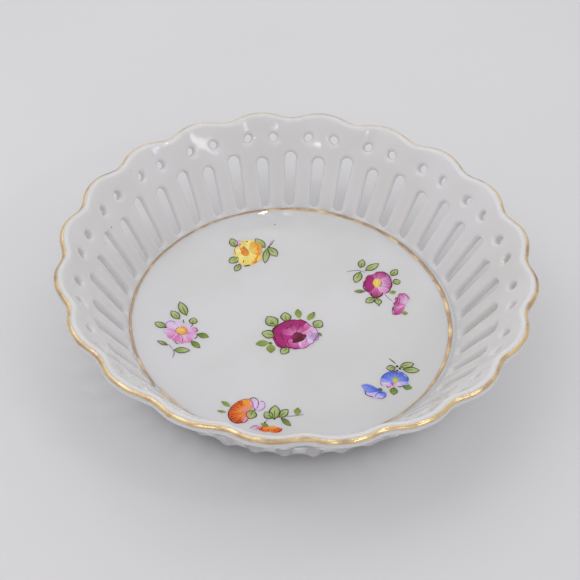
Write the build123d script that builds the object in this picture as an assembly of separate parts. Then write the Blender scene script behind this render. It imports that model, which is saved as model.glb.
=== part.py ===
from build123d import *
import os
from math import asin, atan2, cos, degrees, hypot, radians, sin, sqrt, tan

# A small porcelain ring dish with a pierced, flaring wall, a scalloped gilt rim and painted flower sprigs.
# Lengths are millimetres and angles degrees. Z = 0 is the plane that the foot rests on, Z points up through
# the middle of the dish, and +X points at the middle of a scallop.

# Well plate and foot ring
well_radius = 39.2
plate_thickness = 2.8
foot_height = 2.2
foot_radius = 35.0
foot_width = 2.6
foot_round = 0.8

# Wall, measured on its inner face: well_radius is where that face would meet the floor
rim_radius = 52.1
wall_rise = 18.8
wall_bow = 0.4
wall_thickness = 1.9
corner_round = 1.05

# Rolled lip with its scallops, which fade out down the wall
lip_thickness = 2.6
scallop_count = 20
scallop_wave = 0.8
scallop_pinch = 0.11
scallop_lift = 0.29
flute_start_share = 0.4

# Ribs on the outside, one for each bar between two slots
rib_width = 4.4
rib_depth = 2.75
rib_start_share = -0.06
rib_end_share = 0.9

# Slots: each is a taper with round ends, narrow at the bottom
slot_bottom_width = 2.1
slot_top_width = 2.9
slot_bottom_height = 0.5
short_slot_height = 11.1
tall_slot_height = 12.3

# Round holes, a pair beside the middle of each scallop
hole_diameter = 1.95
hole_height = 15.2
hole_angle = 3.79

# Gilding on the lip and round the well
rim_gilt_thickness = 0.15
rim_gilt_start_angle = 0.0
rim_gilt_end_angle = 78.0
well_line_radius = 37.9
well_line_width = 0.85
well_line_thickness = 0.12
well_line_gap = 0.8
well_line_gap_angle = -134.0

# Painted sprigs: enamel_thickness is how far the colour stands on the glaze, and sprig_size is the width of
# a middling sprig. Places of the sprigs are shares of well_radius, and all else about them is a share of
# sprig_size, from the middle of the sprig.
enamel_thickness = 0.12
sprig_size = 10.0

# Ovals have a place, half a length, half a width and the angle of the length
# Leaves have a base, a tip and a width
rose_place_share = (0.038, -0.153)
rose_petal_shares = [
    (0.00, 0.02, 0.40, 0.38, 0), (0.30, -0.02, 0.20, 0.17, 90), (0.20, 0.26, 0.20, 0.17, 140),
    (-0.09, 0.29, 0.22, 0.18, 20), (-0.34, 0.06, 0.21, 0.18, 75), (-0.26, -0.27, 0.21, 0.17, 120),
    (0.02, -0.35, 0.20, 0.15, 0), (0.26, -0.26, 0.19, 0.15, 40)]
rose_heart_shares = [(0.04, -0.11, 0.18, 0.12, 60)]
rose_leaf_shares = [
    (-0.47, 0.13, -0.73, 0.46, 0.28), (-0.24, 0.36, -0.37, 0.65, 0.22), (-0.03, 0.40, -0.09, 0.83, 0.17),
    (0.21, 0.40, 0.32, 0.79, 0.15), (0.34, 0.29, 0.55, 0.51, 0.26), (-0.47, -0.14, -0.80, -0.11, 0.24),
    (-0.59, -0.37, -0.91, -0.48, 0.22), (-0.55, -0.41, -0.52, -0.71, 0.22), (-0.16, -0.40, -0.23, -0.72, 0.20),
    (0.45, 0.02, 0.62, 0.20, 0.09)]

yellow_rose_place_share = (-0.357, 0.510)
yellow_rose_petal_shares = [
    (0.00, -0.01, 0.40, 0.27, 90), (-0.18, 0.20, 0.17, 0.15, 0), (0.05, 0.32, 0.17, 0.14, 0),
    (0.19, 0.05, 0.20, 0.14, 90), (0.14, -0.28, 0.18, 0.14, 60), (-0.11, -0.32, 0.16, 0.13, 0),
    (-0.22, -0.06, 0.18, 0.12, 90)]
yellow_rose_heart_shares = [(-0.10, 0.02, 0.17, 0.09, -65)]
yellow_rose_leaf_shares = [
    (-0.33, 0.12, -0.50, 0.43, 0.20), (0.42, 0.27, 0.10, 0.50, 0.20), (0.48, 0.29, 0.71, -0.04, 0.19),
    (0.41, 0.12, 0.47, -0.34, 0.15), (-0.22, -0.20, -0.40, -0.46, 0.21), (-0.12, -0.40, -0.22, -0.75, 0.15)]

purple_flower_place_share = (0.485, 0.357)
purple_flower_petal_shares = [
    (0.00, 0.00, 0.22, 0.22, 0), (0.08, 0.30, 0.19, 0.18, 0), (-0.21, 0.18, 0.17, 0.17, 0),
    (-0.23, -0.13, 0.17, 0.16, 0), (-0.01, -0.31, 0.19, 0.17, 90), (0.18, 0.02, 0.22, 0.19, 90)]
purple_flower_eye_shares = [(-0.03, 0.02, 0.13, 0.11, 90)]
purple_flower_leaf_shares = [
    (-0.48, 0.50, -0.43, 0.83, 0.18), (-0.37, 0.42, -0.03, 0.76, 0.18), (-0.47, 0.37, -0.56, -0.03, 0.19),
    (0.24, 0.28, 0.44, 0.62, 0.15), (0.34, 0.10, 0.54, 0.25, 0.15), (-0.30, -0.30, -0.55, -0.34, 0.12),
    (-0.06, -0.44, -0.24, -0.70, 0.18), (0.02, -0.44, 0.11, -0.73, 0.16), (0.34, -0.32, 0.38, -0.14, 0.11),
    (0.72, -0.78, 0.72, -0.99, 0.14)]
purple_bud_shares = [(0.49, -0.57, 0.38, 0.08, 86), (0.60, -0.60, 0.31, 0.07, 82)]

daisy_place_share = (-0.648, -0.242)
daisy_petal_count = 9
daisy_petal_share = (0.24, 0.15, 0.12)
daisy_eye_shares = [(0.01, 0.01, 0.15, 0.13, 0)]
daisy_leaf_shares = [
    (0.02, 0.50, -0.19, 0.91, 0.19), (-0.08, 0.34, -0.34, 0.60, 0.18), (0.24, 0.24, 0.22, 0.47, 0.19),
    (-0.34, 0.05, -0.65, 0.14, 0.16), (0.34, -0.04, 0.69, -0.10, 0.19), (0.26, -0.24, 0.55, -0.49, 0.17),
    (-0.47, -0.41, -0.19, -0.53, 0.09), (-0.03, -0.64, 0.33, -0.59, 0.16)]

blue_flower_place_share = (0.651, -0.421)
blue_flower_upper_shares = [
    (-0.20, 0.04, 0.15, 0.12, 60), (-0.08, 0.13, 0.15, 0.11, 30), (0.10, 0.13, 0.15, 0.11, -30),
    (0.18, 0.02, 0.14, 0.11, -60), (0.00, 0.02, 0.13, 0.14, 0)]
blue_flower_lower_shares = [(-0.20, -0.14, 0.13, 0.10, 60), (-0.07, -0.20, 0.13, 0.09, 90),
                            (0.11, -0.16, 0.12, 0.09, -60)]
blue_flower_eye_shares = [(0.00, -0.01, 0.11, 0.08, 90)]
blue_flower_leaf_shares = [
    (0.03, 0.37, 0.39, 0.58, 0.16), (0.09, 0.32, 0.51, 0.36, 0.15), (-0.02, 0.35, -0.22, 0.26, 0.13),
    (-0.02, -0.24, -0.01, -0.46, 0.20), (0.17, -0.18, 0.40, -0.19, 0.19)]
blue_bud_shares = [(-0.46, -0.43, 0.30, 0.12, -27)]

orange_flower_place_share = (-0.204, -0.804)
orange_flower_petal_shares = [
    (0.00, 0.25, 0.18, 0.10, 40), (-0.08, 0.10, 0.22, 0.14, 60), (-0.09, -0.08, 0.22, 0.14, 90),
    (-0.04, -0.22, 0.16, 0.13, 100)]
orange_flower_pale_shares = [(0.26, 0.25, 0.15, 0.10, 70), (0.43, 0.20, 0.14, 0.09, 100),
                             (0.13, 0.14, 0.13, 0.10, 60), (0.12, -0.20, 0.13, 0.09, 50)]
orange_flower_leaf_shares = [
    (0.26, -0.15, 0.26, 0.09, 0.20), (-0.21, 0.09, -0.44, 0.23, 0.12), (-0.24, -0.08, -0.49, -0.06, 0.08),
    (0.76, -0.10, 0.76, 0.28, 0.22), (0.72, -0.11, 0.54, 0.06, 0.15), (0.89, -0.02, 1.04, 0.20, 0.16),
    (0.95, -0.08, 1.18, -0.26, 0.14), (1.27, 0.10, 1.26, 0.30, 0.16), (0.51, -0.28, 0.71, -0.26, 0.08)]
orange_bud_shares = [(0.77, -0.38, 0.22, 0.08, 4), (0.46, -0.41, 0.13, 0.05, 10)]

# Room that cutting shapes run past what they cut
overrun = 2.0

# Worked out from the sizes above
floor_height = foot_height + plate_thickness
wall_chord = hypot(rim_radius - well_radius, wall_rise)
wall_slope = degrees(atan2(wall_rise, rim_radius - well_radius))
bow_radius = (wall_chord ** 2 / 4 + wall_bow ** 2) / (2 * wall_bow)
bow_reach = bow_radius - wall_bow
bow_centre_radius = (well_radius + rim_radius) / 2 + bow_reach * sin(radians(wall_slope))
bow_centre_height = wall_rise / 2 - bow_reach * cos(radians(wall_slope))
scallop_angle = 360 / scallop_count
bar_angle = scallop_angle / 2
section_steps = 8
face_steps = 6


def wall_radius(height, depth=0):
    """Radius of the wall at a height above the floor, at a depth below its inner face."""
    return bow_centre_radius - sqrt((bow_radius - depth) ** 2 - (height - bow_centre_height) ** 2)


def wall_lean(height):
    """Slope of the wall from the horizontal at a height above the floor."""
    return 90 - degrees(asin((height - bow_centre_height) / bow_radius))


corner_reach = corner_round * tan(radians(wall_lean(0) / 2))
plate_radius = well_radius - corner_reach
lip_radius = lip_thickness / 2
lip_lean = radians(wall_lean(wall_rise))


def turned(x, y, z, angle):
    """Point or direction turned round the dish's axis."""
    return Vector(x, y, z).rotate(Axis.Z, angle)


def wall_plane(height, angle):
    """Plane on the wall's inner face: x runs round the dish and z points into the bowl."""
    lean = radians(wall_lean(height))
    return Plane(origin=turned(wall_radius(height), 0, floor_height + height, angle),
                 x_dir=turned(0, 1, 0, angle), z_dir=turned(-sin(lean), 0, cos(lean), angle))


def scallop_shift(angle):
    """How far the lip moves out and up at an angle from the middle of a scallop."""
    turn = radians(angle * scallop_count)
    return scallop_wave * cos(turn) - scallop_pinch * cos(2 * turn), scallop_lift * cos(turn)


def face_point(share, depth, shift):
    """Radius and height on a face of the wall, moved with the scallops more and more towards the lip."""
    height = corner_reach * sin(radians(wall_lean(0))) * (1 - share) + wall_rise * share
    fade = max((share - flute_start_share) / (1 - flute_start_share), 0) ** 2
    lean = radians(wall_lean(height))
    return (wall_radius(height) + depth * sin(lean) + shift[0] * fade,
            height - depth * cos(lean) + shift[1] * fade)


def lip_point(turn, reach, shift):
    """Radius and height round the lip's middle, at a turn up from straight out."""
    middle_radius = rim_radius + lip_radius * sin(lip_lean) + shift[0]
    middle_height = wall_rise - lip_radius * cos(lip_lean) + shift[1]
    return middle_radius + reach * cos(turn), middle_height + reach * sin(turn)


def placed(point, angle):
    """Point of the dish at an angle, from its radius and its height above the floor."""
    return turned(point[0], 0, floor_height + point[1], angle)


def wall_section(angle):
    """Closed outline of the wall, cut straight up and down at an angle."""
    shift = scallop_shift(angle)
    inner = [placed(face_point(step / face_steps, 0, shift), angle) for step in range(face_steps + 1)]
    outer = []
    for step in range(face_steps + 1):
        share = 1 - step / face_steps
        outer.append(placed(face_point(share, wall_thickness + (lip_thickness - wall_thickness) * share, shift),
                            angle))
    lean = radians(wall_lean(0))
    foot_turn = placed((wall_radius(-plate_thickness, wall_thickness), -plate_thickness), angle)
    plate_low = placed((plate_radius, -plate_thickness), angle)
    plate_high = placed((plate_radius, 0), angle)
    corner_middle = placed((plate_radius + corner_round * sin(lean / 2), corner_round * (1 - cos(lean / 2))), angle)
    lip_top = placed(lip_point(lip_lean, lip_radius, shift), angle)
    up_wall = turned(cos(lip_lean), 0, sin(lip_lean), angle)
    return Wire([Line(plate_low, plate_high),
                 ThreePointArc(plate_high, corner_middle, inner[0]),
                 Spline(*inner, tangents=[turned(cos(lean), 0, sin(lean), angle), up_wall]),
                 ThreePointArc(inner[-1], lip_top, outer[0]),
                 Spline(*outer),
                 Line(outer[-1], foot_turn),
                 Line(foot_turn, plate_low)])


def gilt_section(angle):
    """Closed wedge from the lip's middle out to the face of its gilding, at an angle."""
    shift = scallop_shift(angle)
    start, end = radians(rim_gilt_start_angle), radians(rim_gilt_end_angle)
    middle = placed(lip_point(0, 0, shift), angle)
    top = [placed(lip_point(turn, lip_radius + rim_gilt_thickness, shift), angle)
           for turn in (start, (start + end) / 2, end)]
    return Wire([Line(middle, top[0]), ThreePointArc(*top), Line(top[-1], middle)])


def scallop_tile(section):
    """One scallop's length of a ring, lofted through its section at even steps from valley to valley."""
    sections = []
    for step in range(section_steps + 1):
        sections.append(section(scallop_angle * (step / section_steps - 1 / 2)))
    return Solid.make_loft(sections)


def ring_of(tile):
    """Whole ring made of one tile for each scallop, joined by doubling a block of tiles."""
    ring = None
    ring_tiles = 0
    block_tiles = 1
    while ring_tiles < scallop_count:
        if scallop_count & block_tiles:
            placed_block = tile.rotate(Axis.Z, scallop_angle * ring_tiles)
            ring = ring.fuse(placed_block) if ring else placed_block
            ring_tiles += block_tiles
        if ring_tiles < scallop_count:
            tile = tile.fuse(tile.rotate(Axis.Z, scallop_angle * block_tiles))
            block_tiles *= 2
    return ring


def rib(angle):
    """Rounded rib on the outside of a bar, which follows the bow of the wall."""
    start = wall_rise * rib_start_share
    end = wall_rise * rib_end_share
    place = wall_plane(start, 0)
    root_depth = wall_thickness / 2
    corners = [place.origin + place.x_dir * side * rib_width / 2 - place.z_dir * root_depth for side in (-1, 1)]
    crest = place.origin - place.z_dir * rib_depth
    outline = Face(Wire([ThreePointArc(corners[0], crest, corners[1]), Line(corners[1], corners[0])]))
    bow_axis = Axis(Vector(bow_centre_radius, 0, floor_height + bow_centre_height), (0, 1, 0))
    swept = revolve(outline, bow_axis, revolution_arc=wall_lean(start) - wall_lean(end))
    return swept.rotate(Axis.Z, angle)


def slot(top_height, angle):
    """Cutting shape of a slot: a taper with round ends, square to the wall."""
    bottom = wall_plane(slot_bottom_height, angle)
    top = wall_plane(top_height, angle)
    along = top.origin - bottom.origin
    low_round, high_round = slot_bottom_width / 2, slot_top_width / 2
    span = along.length - low_round - high_round
    spread = (high_round - low_round) / span
    side = sqrt(1 - spread ** 2)
    low_y, high_y = low_round, low_round + span
    corners = [(low_round * side, low_y - low_round * spread), (high_round * side, high_y - high_round * spread)]
    mirrored = [(-x, y) for x, y in corners]
    outline = Face(Wire([Line(corners[0], corners[1]),
                         ThreePointArc(corners[1], (0, high_y + high_round), mirrored[1]),
                         Line(mirrored[1], mirrored[0]),
                         ThreePointArc(mirrored[0], (0, low_y - low_round), corners[0])]))
    face_plane = Plane(origin=bottom.origin, x_dir=bottom.x_dir, z_dir=bottom.x_dir.cross(along))
    return extrude(face_plane * outline, amount=rib_depth + overrun, both=True)


def round_hole(angle):
    """Cutting shape of a round hole, square to the wall."""
    return wall_plane(hole_height, angle) * Cylinder(hole_diameter / 2, (lip_thickness + overrun) * 2)


def pierced_wall():
    """The flaring wall with its ribs, slots, round holes and rolled lip."""
    ribs = [rib(side * bar_angle / 2) for side in (-1, 1)]
    cuts = [slot(short_slot_height, 0), slot(tall_slot_height, -bar_angle), slot(tall_slot_height, bar_angle)]
    cuts += [round_hole(side * hole_angle) for side in (-1, 1)]
    return ring_of(scallop_tile(wall_section) + ribs - cuts)


def rim_gilt_band():
    """The gilding on the outer side and top of the lip, seated on it all round."""
    return ring_of(scallop_tile(gilt_section) - scallop_tile(wall_section))


def well_plate():
    """The flat round floor of the dish."""
    return Pos(0, 0, foot_height + plate_thickness / 2) * Cylinder(plate_radius, plate_thickness)


def foot_ring():
    """The turned ring under the floor, with its resting edge rounded."""
    ring = Cylinder(foot_radius + foot_width / 2, foot_height) - Cylinder(foot_radius - foot_width / 2, foot_height)
    ring = Pos(0, 0, foot_height / 2) * ring
    return fillet(ring.edges().group_by(Axis.Z)[0], foot_round)


def well_gilt_line():
    """The gilt line on the floor, open where the stroke starts and ends."""
    outside = Cylinder(well_line_radius + well_line_width / 2, well_line_thickness)
    line = outside - Cylinder(well_line_radius - well_line_width / 2, well_line_thickness)
    gap = Pos(well_line_radius, 0, 0) * Box(well_line_width + overrun, well_line_gap, well_line_thickness + overrun)
    line = line - gap.rotate(Axis.Z, well_line_gap_angle)
    return Pos(0, 0, floor_height + well_line_thickness / 2) * line


def ovals(shares):
    """Flat joined outline of painted ovals."""
    faces = []
    for x, y, half_long, half_wide, angle in shares:
        oval = Ellipse(half_long * sprig_size, half_wide * sprig_size)
        faces.append(Pos(x * sprig_size, y * sprig_size) * Rot(0, 0, angle) * oval)
    return Sketch() + faces


def leaves(shares):
    """Flat joined outline of painted leaves, each between two arcs."""
    faces = []
    for x, y, tip_x, tip_y, width in shares:
        base, tip = Vector(x, y) * sprig_size, Vector(tip_x, tip_y) * sprig_size
        side = (tip - base).normalized().rotate(Axis.Z, 90) * (width * sprig_size / 2)
        middle = (base + tip) / 2
        faces.append(Face(Wire([ThreePointArc(base, middle + side, tip), ThreePointArc(tip, middle - side, base)])))
    return Sketch() + faces


def painted(outline, place_share, coats_below=0):
    """Thin coat of enamel on the floor, or on a coat below it."""
    height = floor_height + enamel_thickness * coats_below
    place = Pos(place_share[0] * well_radius, place_share[1] * well_radius, height)
    return place * extrude(outline, amount=enamel_thickness, dir=(0, 0, 1))


def daisy_petals():
    """Even ring of daisy petals round a filled middle."""
    distance, half_long, half_wide = daisy_petal_share
    shares = [(0, 0, distance, distance, 0)]
    for petal in range(daisy_petal_count):
        angle = 360 * petal / daisy_petal_count
        shares.append((distance * cos(radians(angle)), distance * sin(radians(angle)), half_long, half_wide, angle))
    return ovals(shares)


def sprig(name, place_share, petals, middles, leaf_shares, middle_name, bud_shares=None):
    """Enamels of one sprig, by name: petals, what is painted on them, leaves beside them and a side bud."""
    beside = leaves(leaf_shares) - petals
    coats = {name + "_petals": painted(petals, place_share),
             name + "_" + middle_name: painted(ovals(middles), place_share, 1)}
    if bud_shares:
        bud = ovals(bud_shares)
        beside = beside - bud
        coats[name + "_bud"] = painted(bud, place_share)
    coats[name + "_leaves"] = painted(beside, place_share)
    return coats


def blue_sprig():
    """Enamels of the blue flower, whose upper and lower petals are painted apart."""
    upper = ovals(blue_flower_upper_shares)
    lower = ovals(blue_flower_lower_shares) - upper
    bud = ovals(blue_bud_shares) - lower
    beside = leaves(blue_flower_leaf_shares) - upper - lower - bud
    place = blue_flower_place_share
    return {"blue_flower_upper_petals": painted(upper, place),
            "blue_flower_lower_petals": painted(lower, place),
            "blue_flower_eye": painted(ovals(blue_flower_eye_shares), place, 1),
            "blue_flower_bud": painted(bud, place),
            "blue_flower_leaves": painted(beside, place)}


def orange_sprig():
    """Enamels of the orange fan flower, with its pale petals and its side bud."""
    fan = ovals(orange_flower_petal_shares)
    pale = ovals(orange_flower_pale_shares) - fan
    bud = ovals(orange_bud_shares)
    beside = leaves(orange_flower_leaf_shares)
    pale = pale - beside
    beside = beside - fan - bud
    place = orange_flower_place_share
    return {"orange_flower_petals": painted(fan, place),
            "orange_flower_pale_petals": painted(pale, place),
            "orange_flower_bud": painted(bud, place),
            "orange_flower_leaves": painted(beside, place)}


def dish():
    """Every piece of the dish, by name."""
    pieces = {"well_plate": well_plate(),
              "pierced_wall": pierced_wall(),
              "foot_ring": foot_ring(),
              "rim_gilt_band": rim_gilt_band(),
              "well_gilt_line": well_gilt_line()}
    pieces.update(sprig("rose", rose_place_share, ovals(rose_petal_shares), rose_heart_shares,
                        rose_leaf_shares, "heart"))
    pieces.update(sprig("yellow_rose", yellow_rose_place_share, ovals(yellow_rose_petal_shares),
                        yellow_rose_heart_shares, yellow_rose_leaf_shares, "heart"))
    pieces.update(sprig("purple_flower", purple_flower_place_share, ovals(purple_flower_petal_shares),
                        purple_flower_eye_shares, purple_flower_leaf_shares, "eye", purple_bud_shares))
    pieces.update(sprig("daisy", daisy_place_share, daisy_petals(), daisy_eye_shares, daisy_leaf_shares, "eye"))
    pieces.update(blue_sprig())
    pieces.update(orange_sprig())
    return pieces


if __name__ == "__main__":
    os.makedirs("parts", exist_ok=True)
    for name, piece in dish().items():
        export_step(piece, "parts/" + name + ".step")
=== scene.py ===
import math
from collections import namedtuple

import bmesh
import bpy
import numpy as np
from bpy.props import FloatProperty, FloatVectorProperty, IntProperty, PointerProperty
from mathutils import Matrix, Vector


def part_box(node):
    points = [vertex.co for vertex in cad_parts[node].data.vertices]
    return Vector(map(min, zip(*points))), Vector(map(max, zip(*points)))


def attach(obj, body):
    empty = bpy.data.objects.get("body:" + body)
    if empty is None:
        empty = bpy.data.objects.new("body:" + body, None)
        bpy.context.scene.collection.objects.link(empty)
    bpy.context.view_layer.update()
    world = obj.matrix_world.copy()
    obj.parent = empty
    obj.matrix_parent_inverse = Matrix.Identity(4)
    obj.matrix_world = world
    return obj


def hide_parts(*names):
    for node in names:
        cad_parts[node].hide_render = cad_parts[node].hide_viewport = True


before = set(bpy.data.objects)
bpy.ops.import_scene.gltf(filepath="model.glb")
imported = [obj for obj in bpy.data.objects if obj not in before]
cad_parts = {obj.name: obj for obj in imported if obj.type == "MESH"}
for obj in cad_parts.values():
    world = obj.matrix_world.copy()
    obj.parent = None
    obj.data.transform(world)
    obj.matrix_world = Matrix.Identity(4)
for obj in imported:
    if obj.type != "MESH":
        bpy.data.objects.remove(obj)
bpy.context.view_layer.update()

bl_info = {
    "name": "Ring dish",
    "version": (1, 0, 0),
    "blender": (4, 5, 0),
    "location": "View3D > Sidebar > Ring dish",
    "description": "Pierced porcelain ring dish with a gilt rim and painted sprigs",
    "category": "Object",
}

MM = 0.001
PLATE_LOW, PLATE_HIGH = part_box("well_plate")
FOOT_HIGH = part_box("foot_ring")[1]


def linear(red, green, blue):
    """Linear colour of a colour as the eye reads it, each part from 0 to 1."""
    return tuple(part / 12.92 if part <= 0.04045 else ((part + 0.055) / 1.055) ** 2.4
                 for part in (red, green, blue))


def amount(name, default, description, **kind):
    """Property of one number, plain if no unit is given."""
    return FloatProperty(name=name, default=default, description=description, **kind)


def length(name, default, description):
    """Property of one length in metres."""
    return amount(name, default, description, unit="LENGTH", precision=5)


def angle(name, default, description):
    """Property of one angle, with its default in degrees."""
    return amount(name, math.radians(default), description, unit="ROTATION")


def colour(name, default, description):
    """Property of one colour, with its default as the eye reads it."""
    return FloatVectorProperty(name=name, default=linear(*default), description=description, subtype="COLOR",
                               min=0, max=1)


class WallSizes(bpy.types.PropertyGroup):
    """Sizes of the pierced wall."""
    floor_height: length("Floor height", PLATE_HIGH.z, "Height of the dish's floor above the table")
    plate_radius: length("Plate radius", PLATE_HIGH.x, "Radius where the wall's corner leaves the floor")
    well_radius: length("Well radius", 0.0392, "Radius where the wall's inner face would meet the floor")
    rim_radius: length("Rim radius", 0.0521, "Radius of the inner face at the lip")
    wall_rise: length("Wall rise", 0.0188, "Height of the inner face above the floor")
    wall_bow: length("Wall bow", 0.0004, "How far the inner face bulges into the bowl")
    wall_thickness: length("Wall thickness", 0.0019, "Thickness at the bottom of the wall")
    lip_thickness: length("Lip thickness", 0.0026, "Thickness at the rolled lip")
    corner_round: length("Corner round", 0.00105, "Radius between floor and wall")
    scallop_count: IntProperty(name="Scallops", default=20, description="Number of scallops round the rim")
    scallop_wave: length("Scallop wave", 0.0008, "How far the lip swings out and in")
    scallop_pinch: length("Scallop pinch", 0.00011, "How much tighter the valleys are than the tips")
    scallop_lift: length("Scallop lift", 0.00029, "How far the lip swings up and down")
    flute_start: amount("Flute start", 0.4, "Share of the wall with no scallops")
    rib_width: length("Rib width", 0.0044, "Width of the rib on each bar")
    rib_depth: length("Rib depth", 0.00275, "Depth of a rib's crest below the inner face")
    rib_end: amount("Rib end", 0.87, "Share of the wall that the ribs climb")
    slot_bottom_width: length("Slot bottom width", 0.0021, "Width of a slot near the floor")
    slot_top_width: length("Slot top width", 0.0029, "Width of a slot near its top")
    slot_bottom_height: length("Slot bottom", 0.00045, "Height of the slots' lower ends above the floor")
    short_slot_height: length("Short slot top", 0.0111, "Height of the short slots' tops")
    tall_slot_height: length("Tall slot top", 0.0123, "Height of the tall slots' tops")
    hole_diameter: length("Hole diameter", 0.00195, "Diameter of the round holes")
    hole_height: length("Hole height", 0.0152, "Height of the round holes above the floor")
    hole_angle: angle("Hole angle", 3.79, "Angle of a hole from the middle of its scallop")
    glaze_round: length("Glaze round", 0.0011, "Softness that the glaze gives to cut edges")
    rib_blend: length("Rib blend", 0.0009, "Softness between a rib and the wall")
    hand_wander: length("Hand wander", 0.00013, "How far the hand-cut openings stray from even places")
    cell: length("Mesh cell", 0.00029, "Size of the faces of the wall's mesh")


class FootSizes(bpy.types.PropertyGroup):
    """Sizes of the floor plate and the foot ring."""
    plate_lap: length("Plate lap", 0.0001, "How far the floor runs under the wall's corner")
    foot_width: length("Foot width", 0.0026, "Width of the foot ring")
    foot_round: length("Foot round", 0.0008, "Rounding of the foot's resting edge")


class GiltSizes(bpy.types.PropertyGroup):
    """Sizes and colours of the gilding."""
    band_start: angle("Band start", 28.0, "Turn from straight out where the rim's gilding starts")
    band_end: angle("Band end", 77.0, "Turn from straight out where the rim's gilding ends")
    band_wander: angle("Band wander", 5.0, "How far the edges of the brushed band stray")
    film: length("Film", 0.00005, "How far the rim's gilding stands on the glaze")
    line_film: length("Line film", 0.00004, "How far the gilt line stands on the glaze")
    line_radius: length("Line radius", 0.03825, "Radius of the gilt line round the well")
    line_width: length("Line width", 0.0011, "Width of the gilt line")
    line_shift: length("Line shift", 0.00055, "How far the hand-drawn line lies off centre")
    line_sway: length("Line sway", 0.0003, "How far the hand-drawn line leaves a true circle")
    line_tremble: length("Line tremble", 0.00006, "Small shake of the hand that drew the line")
    line_gap_angle: angle("Line gap", -134.0, "Where the line's two ends miss each other")
    line_open_angle: angle("Line opening", 0.55, "Turn from the middle of the gap to each end of the line")
    gold: colour("Gold", (0.94, 0.83, 0.64), "Bright gilding")
    worn_gold: colour("Worn gold", (0.72, 0.61, 0.50), "Thin, browned gilding")
    rim_wear: amount("Rim wear", 0.0, "How much more of the rim's gilding is worn")
    line_wear: amount("Line wear", 0.14, "How much more of the line's gilding is worn")


class GlazeLook(bpy.types.PropertyGroup):
    """Colours of the porcelain."""
    glaze: colour("Glaze", (0.868, 0.863, 0.872), "White of the glazed porcelain")
    pooled_glaze: colour("Pooled glaze", (0.848, 0.846, 0.846), "Slightly darker white where the glaze lies thick")
    bare_clay: colour("Bare clay", (0.80, 0.77, 0.71), "Unglazed clay on the foot's resting edge")
    # Painted shade: the floor's glaze is darkened by this share, to dim the floor, which takes more light than the
    # wall.
    floor_painted_shade: amount("Floor tone", 0.93, "Brightness of the floor beside the wall")
    body_glow: amount("Body glow", 0.5, "How much light goes through the floor and the foot")
    wall_glow: amount("Wall glow", 0.85, "How much light goes through the thin wall")
    speck: colour("Speck", (0.40, 0.37, 0.36), "Tiny kiln specks")
    speck_size: length("Speck size", 0.0003, "Radius of a kiln speck")


class EnamelLook(bpy.types.PropertyGroup):
    """Relief and colours of the painted sprigs."""
    relief: length("Relief", 0.00006, "How far the enamel stands on the glaze")
    outline: length("Outline", 0.000207, "Width of the outlines drawn round leaves")
    vein: length("Vein", 0.000234, "Width of the veins drawn on leaves")
    wine: colour("Wine", (0.33, 0.0, 0.09), "Darkest crimson")
    crimson: colour("Crimson", (0.60, 0.03, 0.36), "Crimson of the rose")
    magenta: colour("Magenta", (0.72, 0.12, 0.52), "Middle pink of the rose")
    pink: colour("Pink", (0.87, 0.49, 0.72), "Light pink")
    lilac: colour("Lilac", (0.88, 0.77, 0.91), "Palest petals")
    violet: colour("Violet", (0.66, 0.50, 0.74), "Shaded pale petals")
    plum: colour("Plum", (0.36, 0.10, 0.28), "Outlines of purple petals")
    umber: colour("Umber", (0.30, 0.24, 0.15), "Outlines of leaves")
    olive: colour("Olive", (0.47, 0.52, 0.22), "Shaded leaves")
    green: colour("Green", (0.57, 0.67, 0.30), "Leaves")
    pale_green: colour("Pale green", (0.75, 0.79, 0.60), "Thin washes on leaves")
    deep_green: colour("Deep green", (0.33, 0.40, 0.14), "Darkest leaves")
    lemon: colour("Lemon", (0.95, 0.89, 0.54), "Light yellow petals")
    yellow: colour("Yellow", (0.93, 0.81, 0.38), "Yellow petals")
    orange: colour("Orange", (0.93, 0.60, 0.18), "Orange petals")
    rust: colour("Rust", (0.80, 0.43, 0.10), "Shaded orange")
    red: colour("Red", (0.86, 0.28, 0.05), "Red of the fan flower")
    deep_red: colour("Deep red", (0.58, 0.08, 0.02), "Edge of the fan flower")
    blue: colour("Blue", (0.26, 0.38, 0.86), "Blue petals")
    deep_blue: colour("Deep blue", (0.22, 0.23, 0.68), "Shaded blue")
    sky: colour("Sky", (0.55, 0.64, 0.93), "Light blue")


class StageLook(bpy.types.PropertyGroup):
    """Camera, lamps and table."""
    camera_place: FloatVectorProperty(name="Camera place", default=(0.0184585, -0.2158534, 0.2245386),
                                      description="Where the camera stands", subtype="XYZ", unit="LENGTH")
    camera_heading: angle("Camera heading", 95.2166, "Direction that the camera looks along, from +X")
    camera_dip: angle("Camera dip", 44.2748, "How far the camera looks down")
    camera_roll: angle("Camera roll", 3.285, "Turn of the camera about its line of sight")
    camera_lens: amount("Lens", 80.32, "Focal length on a 36 mm wide sensor")
    table_size: length("Table size", 6.0, "Width of the table top")
    table: colour("Table", (0.86, 0.857, 0.865), "Pale table top")
    sky_light: amount("Room light", 0.66, "Strength of the light all round")
    key_power: amount("Key power", 0.7, "Power of the large soft lamp", unit="POWER")
    back_power: amount("Back power", 0.95, "Power of the soft lamp behind", unit="POWER")
    window_power: amount("Window power", 0.35, "Power of the windows", unit="POWER")


GROUPS = {"wall": WallSizes, "foot": FootSizes, "gilt": GiltSizes, "glaze": GlazeLook, "enamel": EnamelLook,
          "stage": StageLook}


class RingDishSettings(bpy.types.PropertyGroup):
    """All settings of the ring dish."""
    wall: PointerProperty(type=WallSizes)
    foot: PointerProperty(type=FootSizes)
    gilt: PointerProperty(type=GiltSizes)
    glaze: PointerProperty(type=GlazeLook)
    enamel: PointerProperty(type=EnamelLook)
    stage: PointerProperty(type=StageLook)


# Meshes

TURNED_STEPS = 180  # faces round a turned piece


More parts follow.
